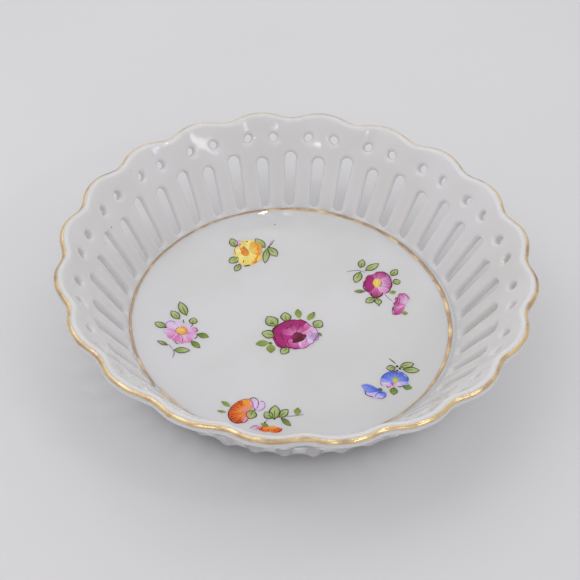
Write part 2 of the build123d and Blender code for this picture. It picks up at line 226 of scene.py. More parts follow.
def mesh_piece(name, points, faces, material, slot, nodes, paint=None):
    """New smooth object that rides on the dish and stands for its solid."""
    mesh = bpy.data.meshes.new(name)
    mesh.from_pydata([tuple(point) for point in points], [], [tuple(face) for face in faces])
    skins = bmesh.new()
    skins.from_mesh(mesh)
    bmesh.ops.recalc_face_normals(skins, faces=skins.faces)
    skins.to_mesh(mesh)
    skins.free()
    mesh.update()
    mesh.shade_smooth()
    if paint is not None:
        layer = mesh.color_attributes.new("paint", "FLOAT_COLOR", "POINT")
        rgba = np.ones((len(points), 4), np.float32)
        rgba[:, :3] = paint
        layer.data.foreach_set("color", rgba.ravel())
    mesh.materials.append(material)
    piece = bpy.data.objects.new(name, mesh)
    bpy.context.scene.collection.objects.link(piece)
    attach(piece, "root")
    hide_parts(*nodes)
    return piece


def section_faces(sections, around, closed=True):
    """Quads of a section carried all the way round, or from one end to the other with both ends closed."""
    faces = []
    for section in range(sections if closed else sections - 1):
        here, ahead = section * around, (section + 1) % sections * around
        for place in range(around):
            beside = (place + 1) % around
            faces.append((here + place, ahead + place, ahead + beside, here + beside))
    if not closed:
        last = (sections - 1) * around
        faces += [tuple(range(around)), tuple(range(last + around - 1, last - 1, -1))]
    return faces


def lathe(profile):
    """Points and faces of a profile of radii and heights turned round the dish's axis.

    A profile that starts and ends on the axis makes a disc, and any other one is closed to a ring.
    """
    ring = [place for place in profile if place[0] > 0]
    points = []
    for step in range(TURNED_STEPS):
        turn = math.tau * step / TURNED_STEPS
        points += [(radius * math.cos(turn), radius * math.sin(turn), height) for radius, height in ring]
    around = len(ring)
    faces = section_faces(TURNED_STEPS, around)
    if around == len(profile):
        return points, faces
    faces = [face for number, face in enumerate(faces) if (number + 1) % around]
    top, bottom = len(points), len(points) + 1
    points += [(0, 0, profile[0][1]), (0, 0, profile[-1][1])]
    for step in range(TURNED_STEPS):
        start, ahead = step * around, (step + 1) % TURNED_STEPS * around
        faces += [(top, start, ahead), (bottom, ahead + around - 1, start + around - 1)]
    return points, faces


def arc(middle, radius, start, end, count):
    """Points of an arc in the plane of radii and heights, with angles in radians."""
    turns = np.linspace(start, end, count)
    return [(middle[0] + radius * math.cos(turn), middle[1] + radius * math.sin(turn)) for turn in turns]


def wander(turn, seed, waves):
    """Smooth even noise round the dish, from about -1 to 1."""
    faint, strong, peak = 0.5, 1, 1.4
    chance = np.random.default_rng(seed)
    total = np.zeros_like(np.asarray(turn, float))
    for wave in waves:
        total = total + chance.uniform(faint, strong) * np.sin(wave * turn + chance.uniform(0, math.tau))
    return total / ((faint + strong) / 2 * math.sqrt(len(waves)) * peak)


# Shape of the wall

FACE_POINTS, LIP_POINTS, CORNER_POINTS = 28, 26, 14  # points of the wall's outline
TUCK_SHARE = 0.12  # of the corner's radius, how far the wall's toe ends below the floor
SQUARE_SHARE = 0.92  # of the rim's radius, where the mesh's cells are square
MARGIN_CELLS = 3
SETTLE_PASSES, PROBE, LONGEST_STRIDE, LEAST_SLOPE = 5, 0.05, 0.35, 0.3  # the last three in cells
SIDE_WANDER, UP_WANDER = (3, (9, 14, 23, 31, 37)), (5, (7, 12, 19, 26, 33))  # seeds, and waves round the dish
UP_WANDER_SHARE = 1.3
CROWN_STEEPNESS = 6
UNDER_SHARES = (0.9, 0.5, 0.1)  # where the band's hidden side has its points
CELL_CORNERS = [(a, b, c) for a in (0, 1) for b in (0, 1) for c in (0, 1)]


def soft_least(first, second, blend):
    """Lesser of two distances, rounded where they meet."""
    near = np.maximum(blend - np.abs(first - second), 0) / blend
    return np.minimum(first, second) - near * near * blend / 4


def soft_most(first, second, blend):
    """Greater of two distances, rounded where they meet."""
    return -soft_least(-first, -second, blend)


def polygon_distance(points, across, up):
    """Signed distance to a closed outline, less than zero inside."""
    nearest = np.full(across.shape, np.inf)
    inside = np.zeros(across.shape, bool)
    for (x0, y0), (x1, y1) in zip(points, points[1:] + points[:1]):
        run_x, run_y = x1 - x0, y1 - y0
        off_x, off_y = across - x0, up - y0
        along = np.clip((off_x * run_x + off_y * run_y) / (run_x ** 2 + run_y ** 2), 0, 1)
        nearest = np.minimum(nearest, (off_x - along * run_x) ** 2 + (off_y - along * run_y) ** 2)
        if run_y != 0:
            inside ^= ((y0 > up) != (y1 > up)) & (off_x < run_x * off_y / run_y)
    return np.where(inside, -1, 1) * np.sqrt(nearest)


class Wall:
    """The wall's shape as a distance, from its sizes."""

    def __init__(self, sizes):
        self.sizes = sizes
        run, rise = sizes.rim_radius - sizes.well_radius, sizes.wall_rise
        self.slope = math.atan2(rise, run)
        self.bow_radius = ((run ** 2 + rise ** 2) / 4 + sizes.wall_bow ** 2) / (2 * sizes.wall_bow)
        reach = self.bow_radius - sizes.wall_bow
        self.bow_x = (sizes.well_radius + sizes.rim_radius) / 2 + reach * math.sin(self.slope)
        self.bow_z = rise / 2 - reach * math.cos(self.slope)
        self.scallop = math.tau / sizes.scallop_count
        self.profile = self.section()

    def lean(self, height):
        """Slope of the inner face at a height above the floor."""
        return math.pi / 2 - math.asin((height - self.bow_z) / self.bow_radius)

    def face(self, height, depth):
        """Radius of the wall at a height, at a depth below its inner face."""
        return self.bow_x - math.sqrt((self.bow_radius - depth) ** 2 - (height - self.bow_z) ** 2)

    def section(self):
        """Closed outline of the wall where it has no scallops, in radii and heights above the floor."""
        sizes = self.sizes
        low_lean, high_lean = self.lean(0), self.lean(sizes.wall_rise)
        corner = sizes.corner_round
        start = corner * math.tan(low_lean / 2) * math.sin(low_lean)
        inner = [(self.face(height, 0), height) for height in np.linspace(start, sizes.wall_rise, FACE_POINTS)]
        nose = sizes.lip_thickness / 2
        middle = (sizes.rim_radius + nose * math.sin(high_lean), sizes.wall_rise - nose * math.cos(high_lean))
        lip = arc(middle, nose, high_lean + math.pi / 2, high_lean - math.pi / 2, LIP_POINTS)[1:-1]
        outer = []
        for share in np.linspace(1, 0, FACE_POINTS):
            height = start * (1 - share) + sizes.wall_rise * share
            depth = sizes.wall_thickness + (sizes.lip_thickness - sizes.wall_thickness) * share
            lean = self.lean(height)
            outer.append((self.face(height, 0) + depth * math.sin(lean), height - depth * math.cos(lean)))
        drop = sizes.floor_height - PLATE_LOW.z
        toe = sizes.plate_radius - corner
        bottom = [(self.face(-drop, sizes.wall_thickness), -drop), (toe, -drop), (toe, -corner * TUCK_SHARE)]
        corner_arc = arc((sizes.plate_radius, corner), corner, -math.pi / 2, low_lean - math.pi / 2, CORNER_POINTS)
        return inner + lip + outer + bottom + corner_arc[:-1]

    def fade(self, radius, height):
        """How much of the scallops' swing reaches a point of the wall."""
        inner_height = self.bow_z + self.bow_radius * (height - self.bow_z) / np.hypot(
            radius - self.bow_x, height - self.bow_z)
        share = np.clip(inner_height / self.sizes.wall_rise, 0, 1)
        start = self.sizes.flute_start
        return np.clip((share - start) / (1 - start), 0, 1) ** 2

    def swing(self, turn):
        """How far the lip moves out and up at a turn from the middle of a scallop."""
        wave = turn * self.sizes.scallop_count
        return (self.sizes.scallop_wave * np.cos(wave) - self.sizes.scallop_pinch * np.cos(2 * wave),
                self.sizes.scallop_lift * np.cos(wave))

    def climb(self, height):
        """Length of the inner face from the floor up to a height."""
        return self.bow_radius * math.asin((height - self.bow_z) / self.bow_radius)

    def rib(self, turn, radius, climbed, depth):
        """Distance to the rib outside a bar, which stands a quarter of a scallop from its middle."""
        sizes = self.sizes
        half = sizes.wall_thickness / 2
        sagitta = sizes.rib_depth - half
        rib_radius = (sizes.rib_width ** 2 / 4 + sagitta ** 2) / (2 * sagitta)
        middle_depth = sizes.rib_depth - rib_radius
        beyond = np.maximum(climbed - self.climb(sizes.wall_rise * sizes.rib_end) + rib_radius, 0)
        below = np.maximum(self.climb(0) - climbed, 0)
        across = radius * np.sin(turn - self.scallop / 4)
        rib = np.sqrt(across ** 2 + (depth - middle_depth) ** 2 + beyond ** 2 + below ** 2) - rib_radius
        return np.maximum(rib, half - depth)

    def slot(self, turn, radius, climbed, place, top):
        """Distance to the tapered slot at one turn, with its top at one height."""
        sizes = self.sizes
        low, high = sizes.slot_bottom_width / 2, sizes.slot_top_width / 2
        bottom = self.climb(sizes.slot_bottom_height) + low
        span = self.climb(top) - high - bottom
        side = np.abs(radius * np.sin(turn - place))
        up = climbed - bottom
        spread = (high - low) / span
        lean = math.sqrt(1 - spread ** 2)
        along = side * spread + up * lean
        return np.where(along < 0, np.hypot(side, up) - low,
                        np.where(along > lean * span, np.hypot(side, up - span) - high,
                                 side * lean - up * spread - low))

    def distance(self, turn, radius, height):
        """Distance to the pierced wall, at turns from the middle of a scallop, before the scallops' swing."""
        sizes = self.sizes
        to_bow = np.hypot(radius - self.bow_x, height - self.bow_z)
        depth = self.bow_radius - to_bow
        climbed = self.bow_radius * np.arcsin(np.clip((height - self.bow_z) / to_bow, -1, 1))
        turn = np.abs(turn)
        plain = polygon_distance(self.profile, radius, height)
        solid = soft_least(plain, self.rib(turn, radius, climbed, depth), sizes.rib_blend)
        for place, top in ((0, sizes.short_slot_height), (self.scallop / 2, sizes.tall_slot_height)):
            solid = soft_most(solid, -self.slot(turn, radius, climbed, place, top), sizes.glaze_round)
        hole = np.hypot(radius * np.sin(turn - sizes.hole_angle), climbed - self.climb(sizes.hole_height))
        return soft_most(solid, sizes.hole_diameter / 2 - hole, sizes.glaze_round)


def wall_grid(wall):
    """Counts of an even grid over one scallop, and where its points lie in turn, radius and height."""
    sizes = wall.sizes
    cell = sizes.cell
    along = np.array([math.cos(wall.slope), math.sin(wall.slope)])
    into = np.array([math.sin(wall.slope), -math.cos(wall.slope)])
    around = int(round(wall.scallop * sizes.rim_radius * SQUARE_SHARE / cell))
    margin = MARGIN_CELLS * cell
    low = np.array([-(sizes.floor_height - PLATE_LOW.z) * along[1] - margin * 3, -sizes.corner_round - margin])
    high = np.array([math.hypot(sizes.rim_radius - sizes.well_radius, sizes.wall_rise) + sizes.lip_thickness,
                     sizes.rib_depth + margin * 1.5])
    counts = np.ceil((high - low) / cell).astype(int)

    def place(indices):
        turn = wall.scallop * (indices[..., 0] / around - 0.5)
        up = low[0] + indices[..., 1] * cell
        deep = low[1] + indices[..., 2] * cell
        return turn, sizes.well_radius + up * along[0] + deep * into[0], up * along[1] + deep * into[1]

    return (around, *counts), place


def cell_points(values):
    """Numbers of the cells that the surface crosses, -1 elsewhere, and the middle of its crossings in each."""
    wrapped = np.concatenate([values, values[:1]], 0)
    shape = (values.shape[0], values.shape[1] - 1, values.shape[2] - 1)
    corner_values = {corner: wrapped[tuple(slice(start, start + count) for start, count in zip(corner, shape))]
                     for corner in CELL_CORNERS}
    crossings = np.zeros(shape)
    total = np.zeros(shape + (3,))
    for first in CELL_CORNERS:
        for axis in range(3):
            if first[axis]:
                continue
            second = tuple(1 if axis == other else first[other] for other in range(3))
            start, end = corner_values[first], corner_values[second]
            crossing = (start < 0) != (end < 0)
            share = np.where(crossing, start / np.where(crossing, start - end, 1), 0)
            crossings += crossing
            for other in range(3):
                total[..., other] += np.where(crossing, first[other] + (share if other == axis else 0), 0)
    active = crossings > 0
    numbers = np.full(shape, -1)
    numbers[active] = np.arange(active.sum())
    return numbers, np.argwhere(active) + total[active] / crossings[active][:, None]


def cell_quads(values, numbers):
    """Quads between the cells' points, each corner as a number and the scallop it lies in, 0 or the one before."""
    quads = []
    for axis, (second, third) in enumerate(((1, 2), (2, 0), (0, 1))):
        if axis == 0:
            start, end = values, np.roll(values, -1, 0)
        else:
            layers = np.moveaxis(values, axis, 0)
            start, end = np.moveaxis(layers[:-1], 0, axis), np.moveaxis(layers[1:], 0, axis)
        nodes = np.argwhere((start < 0) != (end < 0))
        outward = start[tuple(nodes.T)] < 0
        ring = []
        for step_second, step_third in ((-1, -1), (0, -1), (0, 0), (-1, 0)):
            cells = nodes.copy()
            cells[:, second] += step_second
            cells[:, third] += step_third
            tile = np.where(cells[:, 0] < 0, -1, 0)
            cells[:, 0] %= values.shape[0]
            ring.append(np.stack([numbers[tuple(cells.T)], tile], 1))
        ring = np.stack(ring, 1)
        ring[~outward] = ring[~outward][:, ::-1]
        quads.append(ring)
    return np.concatenate(quads)


def settle(wall, indices, place):
    """Moves the mesh's points onto the wall's true surface."""
    for _ in range(SETTLE_PASSES):
        value = wall.distance(*place(indices))
        slope = np.zeros_like(indices)
        for axis in range(3):
            step = np.zeros(3)
            step[axis] = PROBE
            change = wall.distance(*place(indices + step)) - wall.distance(*place(indices - step))
            slope[:, axis] = change / (2 * PROBE)
        steepness = np.maximum((slope ** 2).sum(1), (wall.sizes.cell * LEAST_SLOPE) ** 2)[:, None]
        indices = indices - np.clip(value[:, None] * slope / steepness, -LONGEST_STRIDE, LONGEST_STRIDE)
    return indices


def build_wall(wall):
    """Points and quads of the whole wall, with the small wander of hand-cut openings."""
    sizes = wall.sizes
    counts, place = wall_grid(wall)
    grid = np.stack(np.meshgrid(*(np.arange(count) for count in counts), indexing="ij"), -1)
    values = wall.distance(*place(grid))
    numbers, indices = cell_points(values)
    quads = cell_quads(values, numbers)
    turn, radius, height = place(settle(wall, indices, place))
    fade = wall.fade(radius, height)
    swing_out, swing_up = wall.swing(turn)
    middle = np.clip(np.sin(np.clip(height / sizes.wall_rise, 0, 1) * math.pi), 0, 1)
    stray = sizes.hand_wander * middle
    points, faces = [], []
    for scallop in range(sizes.scallop_count):
        whole_turn = turn + scallop * wall.scallop
        sideways = whole_turn + stray * wander(whole_turn, *SIDE_WANDER) / radius
        upward = stray * wander(whole_turn, *UP_WANDER) * UP_WANDER_SHARE
        out = radius + swing_out * fade + upward * math.cos(wall.slope)
        up = sizes.floor_height + height + swing_up * fade + upward * math.sin(wall.slope)
        points.append(np.stack([out * np.cos(sideways), out * np.sin(sideways), up], 1))
        tile = (scallop + quads[..., 1]) % sizes.scallop_count
        faces.append(quads[..., 0] + tile * len(turn))
    return np.concatenate(points), np.concatenate(faces)


def lip_ring(wall, turns, starts, ends, reach, under, across):
    """Closed skin round the lip, which ends in the glaze on both edges."""
    sizes = wall.sizes
    lean = wall.lean(sizes.wall_rise)
    nose = sizes.lip_thickness / 2
    points = []
    for turn, start, end in zip(turns, starts, ends):
        out, up = wall.swing(turn)
        middle = (sizes.rim_radius + nose * math.sin(lean) + out,
                  sizes.floor_height + sizes.wall_rise - nose * math.cos(lean) + up)
        section = []
        for share in np.linspace(0, 1, across):
            crown = min(1, CROWN_STEEPNESS * share, CROWN_STEEPNESS * (1 - share))
            section.append((start + (end - start) * share, nose - under + (reach + under) * crown))
        for share in UNDER_SHARES:
            section.append((start + (end - start) * share, nose - under * 2))
        for rise, span in section:
            radius = middle[0] + span * math.cos(rise)
            points.append((radius * math.cos(turn), radius * math.sin(turn), middle[1] + span * math.sin(rise)))
    return points, section_faces(len(turns), across + len(UNDER_SHARES))


# Painting

BLADE_ROWS, BLADE_COLUMNS = 15, 9  # points along and across a petal or leaf
BLADE_LIFT, BLADE_LIFT_STEP, BLADE_LEVELS = 0.8, 0.12, 7  # in reliefs, so that petals lie on one another
BLADE_SINK, BLADE_CROWN = 0.15, 5  # in reliefs, how far a blade's edge goes into the glaze; how full its ends are
PETAL_SKEW, PETAL_START, PETAL_END, PETAL_BLUNTNESS = 1.45, 0.06, 0.97, 0.6
LEAF_BLUNTNESS, THINNEST_LEAF, THINNEST_OVAL = 0.85, 0.03, 0.01
STREAK_MIX, STREAK_TONE, EDGE_MIX = 0.16, 0.10, 0.85  # how strongly streaks and edges change a blade's colour
LINE_PLACES = 6  # points of a drawn line between two of its places
LINE_SECTION = (-1, -0.5, 0, 0.5, 1)
LINE_LIFT, LINE_LIFT_STEP, LINE_LEVELS = 1.75, 0.06, 5  # in reliefs
LINE_END, LINE_CROWN, LINE_TONE = 0.35, 0.8, 0.12  # width at a line's ends, fall to its sides, change of tone
LEAF_OUTLINE = ((0, 0), (0.22, 0.72), (0.5, 1), (0.8, 0.62), (1, 0))  # shares along the leaf and out to its side
LEAF_VEIN = (-0.05, 0.3, 0.62)
COAT_LIFT = 1.4  # in reliefs, from one coat to the next one on top of it

Coat = namedtuple("Coat", "name slot leaves petals lines dots level", defaults=((), (), (), (), 0))


def run_and_side(base, tip):
    """Run from a base to a tip, and the direction to its left."""
    run = tip - base
    return run, np.array([-run[1], run[0]]) / np.hypot(*run)


def blade_width(kind, share):
    """Share of its width that a blade has at a share of its length: a petal is blunt, a leaf pointed."""
    if kind == "petal":
        return np.sin(math.pi * share ** PETAL_SKEW * PETAL_END + PETAL_START) ** PETAL_BLUNTNESS
    if kind == "oval":
        return np.sqrt(np.maximum(1 - (2 * share - 1) ** 2, THINNEST_OVAL))
    return np.maximum(np.sin(math.pi * share), THINNEST_LEAF) ** LEAF_BLUNTNESS


class Painting:
    """Enamel of one coat: blades of colour, drawn strokes and dots, as thin closed skins on the floor."""

    def __init__(self, look, base_height):
        self.look = look
        self.base = base_height
        self.points, self.faces, self.paint = [], [], []
        self.level = 0
        self.chance = np.random.default_rng(11)

    def shade(self, name):
        """One of the enamel's colours."""
        return np.array(getattr(self.look, name))

    def skin(self, points, paint):
        """Adds a grid of points, closed below by a flat copy of itself."""
        along, across = points.shape[:2]
        first, count = len(self.points), along * across
        under = points.copy()
        under[..., 2] = self.base - self.look.relief
        self.points += [*points.reshape(-1, 3), *under.reshape(-1, 3)]
        self.paint += [*paint.reshape(-1, 3)] * 2
        place = first + np.arange(count).reshape(along, across)
        quads = np.stack([place[:-1, :-1], place[:-1, 1:], place[1:, 1:], place[1:, :-1]], -1).reshape(-1, 4)
        edge = np.concatenate([place[0], place[1:, -1], place[-1, -2::-1], place[-2:0:-1, 0]])
        ahead = np.roll(edge, -1)
        sides = np.stack([ahead, edge, edge + count, ahead + count], -1)
        self.faces += [*quads, *(quads[:, ::-1] + count), *sides]

    def blade(self, base, tip, width, base_colour, tip_colour, kind="petal", edge_colour=None):
        """One brushed petal or leaf from its base to its tip, in millimetres."""
        base, tip = np.array(base) * MM, np.array(tip) * MM
        run, side = run_and_side(base, tip)
        start, end = self.shade(base_colour), self.shade(tip_colour)
        self.level += 1
        lift = self.look.relief * (BLADE_LIFT + BLADE_LIFT_STEP * (self.level % BLADE_LEVELS))
        streaks = self.chance.uniform(-1, 1, BLADE_COLUMNS)
        share, across = np.linspace(0, 1, BLADE_ROWS)[:, None], np.linspace(-1, 1, BLADE_COLUMNS)
        half = blade_width(kind, share)
        flat = base + run * share[..., None] + side * (across * half * width * MM / 2)[..., None]
        crown = np.sqrt(1 - across ** 2) * np.minimum(1, BLADE_CROWN * half)
        mix = np.clip(share + STREAK_MIX * streaks * np.sin(3 * share), 0, 1)
        tone = start + (end - start) * mix[..., None]
        if edge_colour:
            edge = np.maximum(across ** 4, share ** 7) * EDGE_MIX
            tone += (self.shade(edge_colour) - tone) * edge[..., None]
        tone *= (1 + STREAK_TONE * streaks[np.arange(BLADE_COLUMNS) * 2 % BLADE_COLUMNS])[:, None]
        self.skin(np.dstack([flat, self.base - self.look.relief * BLADE_SINK + lift * crown]), tone)

    def stroke(self, places, width, colour_name):
        """A drawn line that curves through its places, thinner at both ends, in millimetres."""
        places = np.array(places, float)
        if len(places) == 2:
            places = np.array([places[0], places.mean(0), places[1]])
        ends = np.concatenate([[2 * places[0] - places[1]], places, [2 * places[-1] - places[-2]]])
        line = []
        for number in range(len(places) - 1):
            before, start, end, after = ends[number:number + 4]
            for share in np.linspace(0, 1, LINE_PLACES + 1)[:-1]:
                line.append(0.5 * (2 * start + (end - before) * share
                                   + (2 * before - 5 * start + 4 * end - after) * share ** 2
                                   + (3 * start - before - 3 * end + after) * share ** 3))
        line = np.array([*line, places[-1]]) * MM
        ahead = np.gradient(line, axis=0)
        side = np.stack([-ahead[:, 1], ahead[:, 0]], 1) / np.hypot(*ahead.T)[:, None]
        self.level += 1
        lift = self.look.relief * (LINE_LIFT + LINE_LIFT_STEP * (self.level % LINE_LEVELS))
        share, across = np.linspace(0, 1, len(line))[:, None], np.array(LINE_SECTION)
        half = width * MM / 2 * (LINE_END + (1 - LINE_END) * np.sin(math.pi * share) ** 0.5)
        flat = line[:, None] + side[:, None] * (across * half)[..., None]
        height = np.tile(self.base + lift * (1 - LINE_CROWN * across ** 2), (len(line), 1))
        tone = self.shade(colour_name) * (1 + LINE_TONE * np.sin(7 * share + np.arange(len(line))[:, None]))
        self.skin(np.dstack([flat, height]), np.repeat(tone[:, None], len(LINE_SECTION), 1))

    def dot(self, place, radius, colour_name):
        """A small round touch of the brush."""
        x, y = place
        self.blade((x - radius, y), (x + radius, y), 2 * radius, colour_name, colour_name, "oval")

    def leaf(self, base, tip, width, style="lined"):
        """A painted leaf: a pale wash with outlines and a vein, or one solid or dark touch."""
        if style == "solid":
            self.blade(base, tip, width, "green", "olive", "leaf")
            return
        if style == "dark":
            self.blade(base, tip, width, "deep_green", "green", "leaf", "umber")
            return
        self.blade(base, tip, width, "green", "pale_green", "leaf", "olive")
        base, tip = np.array(base, float), np.array(tip, float)
        run, side = run_and_side(base, tip)
        for across in (-0.5, 0.5):
            bow = side * across * width
            self.stroke([base + run * along + bow * out for along, out in LEAF_OUTLINE],
                        self.look.outline / MM, "umber")
        self.stroke([base + run * along for along in LEAF_VEIN], self.look.vein / MM, "deep_green")


# Finishes

GLAZE_ROUGHNESS, CLAY_ROUGHNESS, ENAMEL_ROUGHNESS, TABLE_ROUGHNESS = 0.06, 0.7, 0.2, 0.45
GOLD_ROUGHNESS, WORN_ROUGHNESS = 0.20, 0.42
GLASS_IOR, ENAMEL_SHINE = 1.5, 0.25
GLOW_COLOUR, GLOW_DEPTH = (1.0, 0.9, 0.8), 0.003
BARE_HEIGHT, GLAZED_HEIGHT = 0.00025, 0.0005  # above the table, where the foot's clay ends and its glaze is full
# Noises: waves to the metre, detail and, where given, roughness.
POOLS, WAVES, PEEL = (45, 2), (130, 1), (620, 2)
WORN, PATCHES, GRAIN = (210, 4, 0.62), (60, 2), (1500, 3)
BRUSHED, CLOUD = (2600, 3, 0.6), (9, 4)
# Bumps: strength and depth in metres.
WAVE_BUMP, PEEL_BUMP = (0.4, 0.00003), (0.2, 0.000003)
PATCH_BUMP, GRAIN_BUMP, BRUSH_BUMP = (0.4, 0.0001), (0.35, 0.00003), (0.3, 0.00002)
# Values of a noise between which a tone or a roughness changes.
POOL_RANGE, BRUSH_RANGE, CLOUD_RANGE = (0.38, 0.68), (0.3, 0.75), (0.3, 0.7)
BROWN_RANGE, DULL_RANGE, PATCH_SHARE = (0.72, 0.98), (0.70, 1.0), 0.6
BRUSH_TONES = 0.88, 1.10
SPECK_CORE, SPECK_STRENGTH = 0.5, 0.8
SPECKS = ((-0.009, 0.0315, 0.005), (-0.0445, 0.025, 0.0225), (-0.046, 0.010, 0.017), (-0.044, -0.008, 0.014))


def new_material(name, roughness):
    """New node material, its tree and its Principled shader."""
    material = bpy.data.materials.new(name)
    material.use_nodes = True
    shader = material.node_tree.nodes["Principled BSDF"]
    shader.inputs["Roughness"].default_value = roughness
    return material, material.node_tree, shader


def add(tree, kind, inputs=None, **settings):
    """New node with its settings and its fixed inputs."""
    node = tree.nodes.new(kind)
    for key, value in settings.items():
        setattr(node, key, value)
    for key, value in (inputs or {}).items():
        node.inputs[key].default_value = value
    return node


def noise(tree, scale, detail=3, roughness=0.5):
    """Noise in the dish's own space, with its scale in waves to the metre."""
    place = add(tree, "ShaderNodeTexCoord")
    node = add(tree, "ShaderNodeTexNoise", {"Scale": scale, "Detail": detail, "Roughness": roughness})
    tree.links.new(place.outputs["Object"], node.inputs["Vector"])
    return node.outputs["Fac"]


def ramp(tree, source, low, high, low_value=(0, 0, 0), high_value=(1, 1, 1)):
    """Colour ramp between two values of a source."""
    node = add(tree, "ShaderNodeValToRGB")
    node.color_ramp.elements[0].position = low
    node.color_ramp.elements[1].position = high
    node.color_ramp.elements[0].color = (*low_value, 1)
    node.color_ramp.elements[1].color = (*high_value, 1)
    tree.links.new(source, node.inputs["Fac"])
    return node.outputs["Color"]


def span(tree, source, low, high, low_value=0.0, high_value=1.0):
    """Value that runs evenly between two values of a source."""
    node = add(tree, "ShaderNodeMapRange", {"From Min": low, "From Max": high, "To Min": low_value,
                                            "To Max": high_value})
    tree.links.new(source, node.inputs["Value"])
    return node.outputs["Result"]


def blend(tree, factor, first, second, mode="MIX"):
    """Mix of two colours or sockets by a factor or a socket."""
    node = add(tree, "ShaderNodeMix", data_type="RGBA", blend_type=mode)
    for socket, value in ((node.inputs[0], factor), (node.inputs[6], first), (node.inputs[7], second)):
        if isinstance(value, bpy.types.NodeSocket):
            tree.links.new(value, socket)
        elif isinstance(value, (int, float)):
            socket.default_value = value
        else:
            socket.default_value = (*value, 1)
    return node.outputs[2]


def bump(tree, shader, heights):
    """Bump from several sources, each with its strength and its depth in metres."""
    normal = None
    for source, strength, distance in heights:
        node = add(tree, "ShaderNodeBump", {"Strength": strength, "Distance": distance})
        tree.links.new(source, node.inputs["Height"])
        if normal:
            tree.links.new(normal, node.inputs["Normal"])
        normal = node.outputs["Normal"]
    tree.links.new(normal, shader.inputs["Normal"])


def porcelain(name, look, glow, painted_shade_share=1.0, bare_foot=False):
    """Glossy white glaze with slight pooling, waviness, a few kiln specks and, where a share below one is given,
    painted shade.
    """
    material, tree, shader = new_material(name, GLAZE_ROUGHNESS)
    # A share below one darkens both whites of the glaze: painted shade.
    glaze, pooled = ([part * painted_shade_share for part in shade] for shade in (look.glaze, look.pooled_glaze))
    tone = blend(tree, ramp(tree, noise(tree, *POOLS), *POOL_RANGE), glaze, pooled)
    place = add(tree, "ShaderNodeTexCoord").outputs["Object"]
    for speck_place in SPECKS:
        away = add(tree, "ShaderNodeVectorMath", {1: speck_place}, operation="DISTANCE")
        tree.links.new(place, away.inputs[0])
        near = span(tree, away.outputs["Value"], look.speck_size * SPECK_CORE, look.speck_size, SPECK_STRENGTH, 0.0)
        tone = blend(tree, near, tone, look.speck)
    if bare_foot:
        spot = add(tree, "ShaderNodeSeparateXYZ")
        tree.links.new(place, spot.inputs[0])
        height = spot.outputs["Z"]
        tone = blend(tree, span(tree, height, BARE_HEIGHT, GLAZED_HEIGHT, 1.0, 0.0), tone, look.bare_clay)
        tree.links.new(span(tree, height, BARE_HEIGHT, GLAZED_HEIGHT, CLAY_ROUGHNESS, GLAZE_ROUGHNESS),
                       shader.inputs["Roughness"])
    tree.links.new(tone, shader.inputs["Base Color"])
    shader.inputs["IOR"].default_value = GLASS_IOR
    shader.inputs["Subsurface Weight"].default_value = glow
    shader.inputs["Subsurface Radius"].default_value = GLOW_COLOUR
    shader.inputs["Subsurface Scale"].default_value = GLOW_DEPTH
    bump(tree, shader, [(noise(tree, *WAVES), *WAVE_BUMP), (noise(tree, *PEEL), *PEEL_BUMP)])
    return material


def gilding(name, look, wear):
    """Brushed gold on glaze, bright in places and thin and brown in others."""
    material, tree, shader = new_material(name, GOLD_ROUGHNESS)
    patches = noise(tree, *PATCHES)
    share = add(tree, "ShaderNodeMath", {1: PATCH_SHARE}, operation="MULTIPLY_ADD")
    tree.links.new(patches, share.inputs[0])
    tree.links.new(noise(tree, *WORN), share.inputs[2])
    brown = ramp(tree, share.outputs[0], *(end - wear for end in BROWN_RANGE))
    tree.links.new(blend(tree, brown, look.gold, look.worn_gold), shader.inputs["Base Color"])
    dull = span(tree, share.outputs[0], *(end - wear for end in DULL_RANGE), GOLD_ROUGHNESS, WORN_ROUGHNESS)
    tree.links.new(dull, shader.inputs["Roughness"])
    shader.inputs["Metallic"].default_value = 1.0
    bump(tree, shader, [(patches, *PATCH_BUMP), (noise(tree, *GRAIN), *GRAIN_BUMP)])
    return material


def enamel():
    """Glossy enamel that takes its colours from the painting."""
    material = bpy.data.materials.get("enamel")
    if material:
        return material
    material, tree, shader = new_material("enamel", ENAMEL_ROUGHNESS)
    paint = add(tree, "ShaderNodeAttribute", attribute_name="paint")
    grain = noise(tree, *BRUSHED)
    shade = ramp(tree, grain, *BRUSH_RANGE, *((tone,) * 3 for tone in BRUSH_TONES))
    tree.links.new(blend(tree, 1.0, paint.outputs["Color"], shade, "MULTIPLY"), shader.inputs["Base Color"])
    shader.inputs["IOR"].default_value = GLASS_IOR
    shader.inputs["Specular IOR Level"].default_value = ENAMEL_SHINE
    bump(tree, shader, [(grain, *BRUSH_BUMP)])
    return material


# Porcelain and gilding

FLOOR_TOP_RINGS, FLOOR_UNDER_RINGS, FOOT_ROUND_POINTS = 34, 13, 8
GILT_STEPS, BAND_POINTS = 720, 13  # sections along the gilding, and points across the band
BAND_START_WANDER, BAND_END_WANDER = (21, (3, 8, 17, 29, 61, 97)), (22, (4, 9, 21, 37, 73, 110))
GILT_SECTION = ((-1, -0.3), (-0.7, 0.8), (0, 1), (0.7, 0.8), (1, -0.3), (0, -1))  # half widths, films
GILT_TREMBLE, GILT_PRESS_WANDER = (31, (5, 11, 23, 47)), (32, (7, 16, 39, 83, 140))
GILT_PRESS_SHARE = 0.12
GILT_PRESSURE = ((0, 0.5), (0.026, 0.45), (0.036, 0.09), (0.15, 0.12), (0.28, 0.5), (0.38, 1), (0.60, 0.9),
                 (0.72, 0.6), (1, 0.6))  # shares of the way round and of the full width
GILT_START_FLICK, GILT_END_FLICK = (0.8, 120), (1.7, 90)  # in sways, and how fast the flick dies away
GILT_LOBE, GILT_LOBE_TURN = 0.6, 1.9  # the line's third lobe, in sways, and its turn
GILT_SIDE_SHIFT = 0.2  # in shifts
CORNER_CLIMB = 0.9  # in corner radii, how far out the line may run up the wall's corner
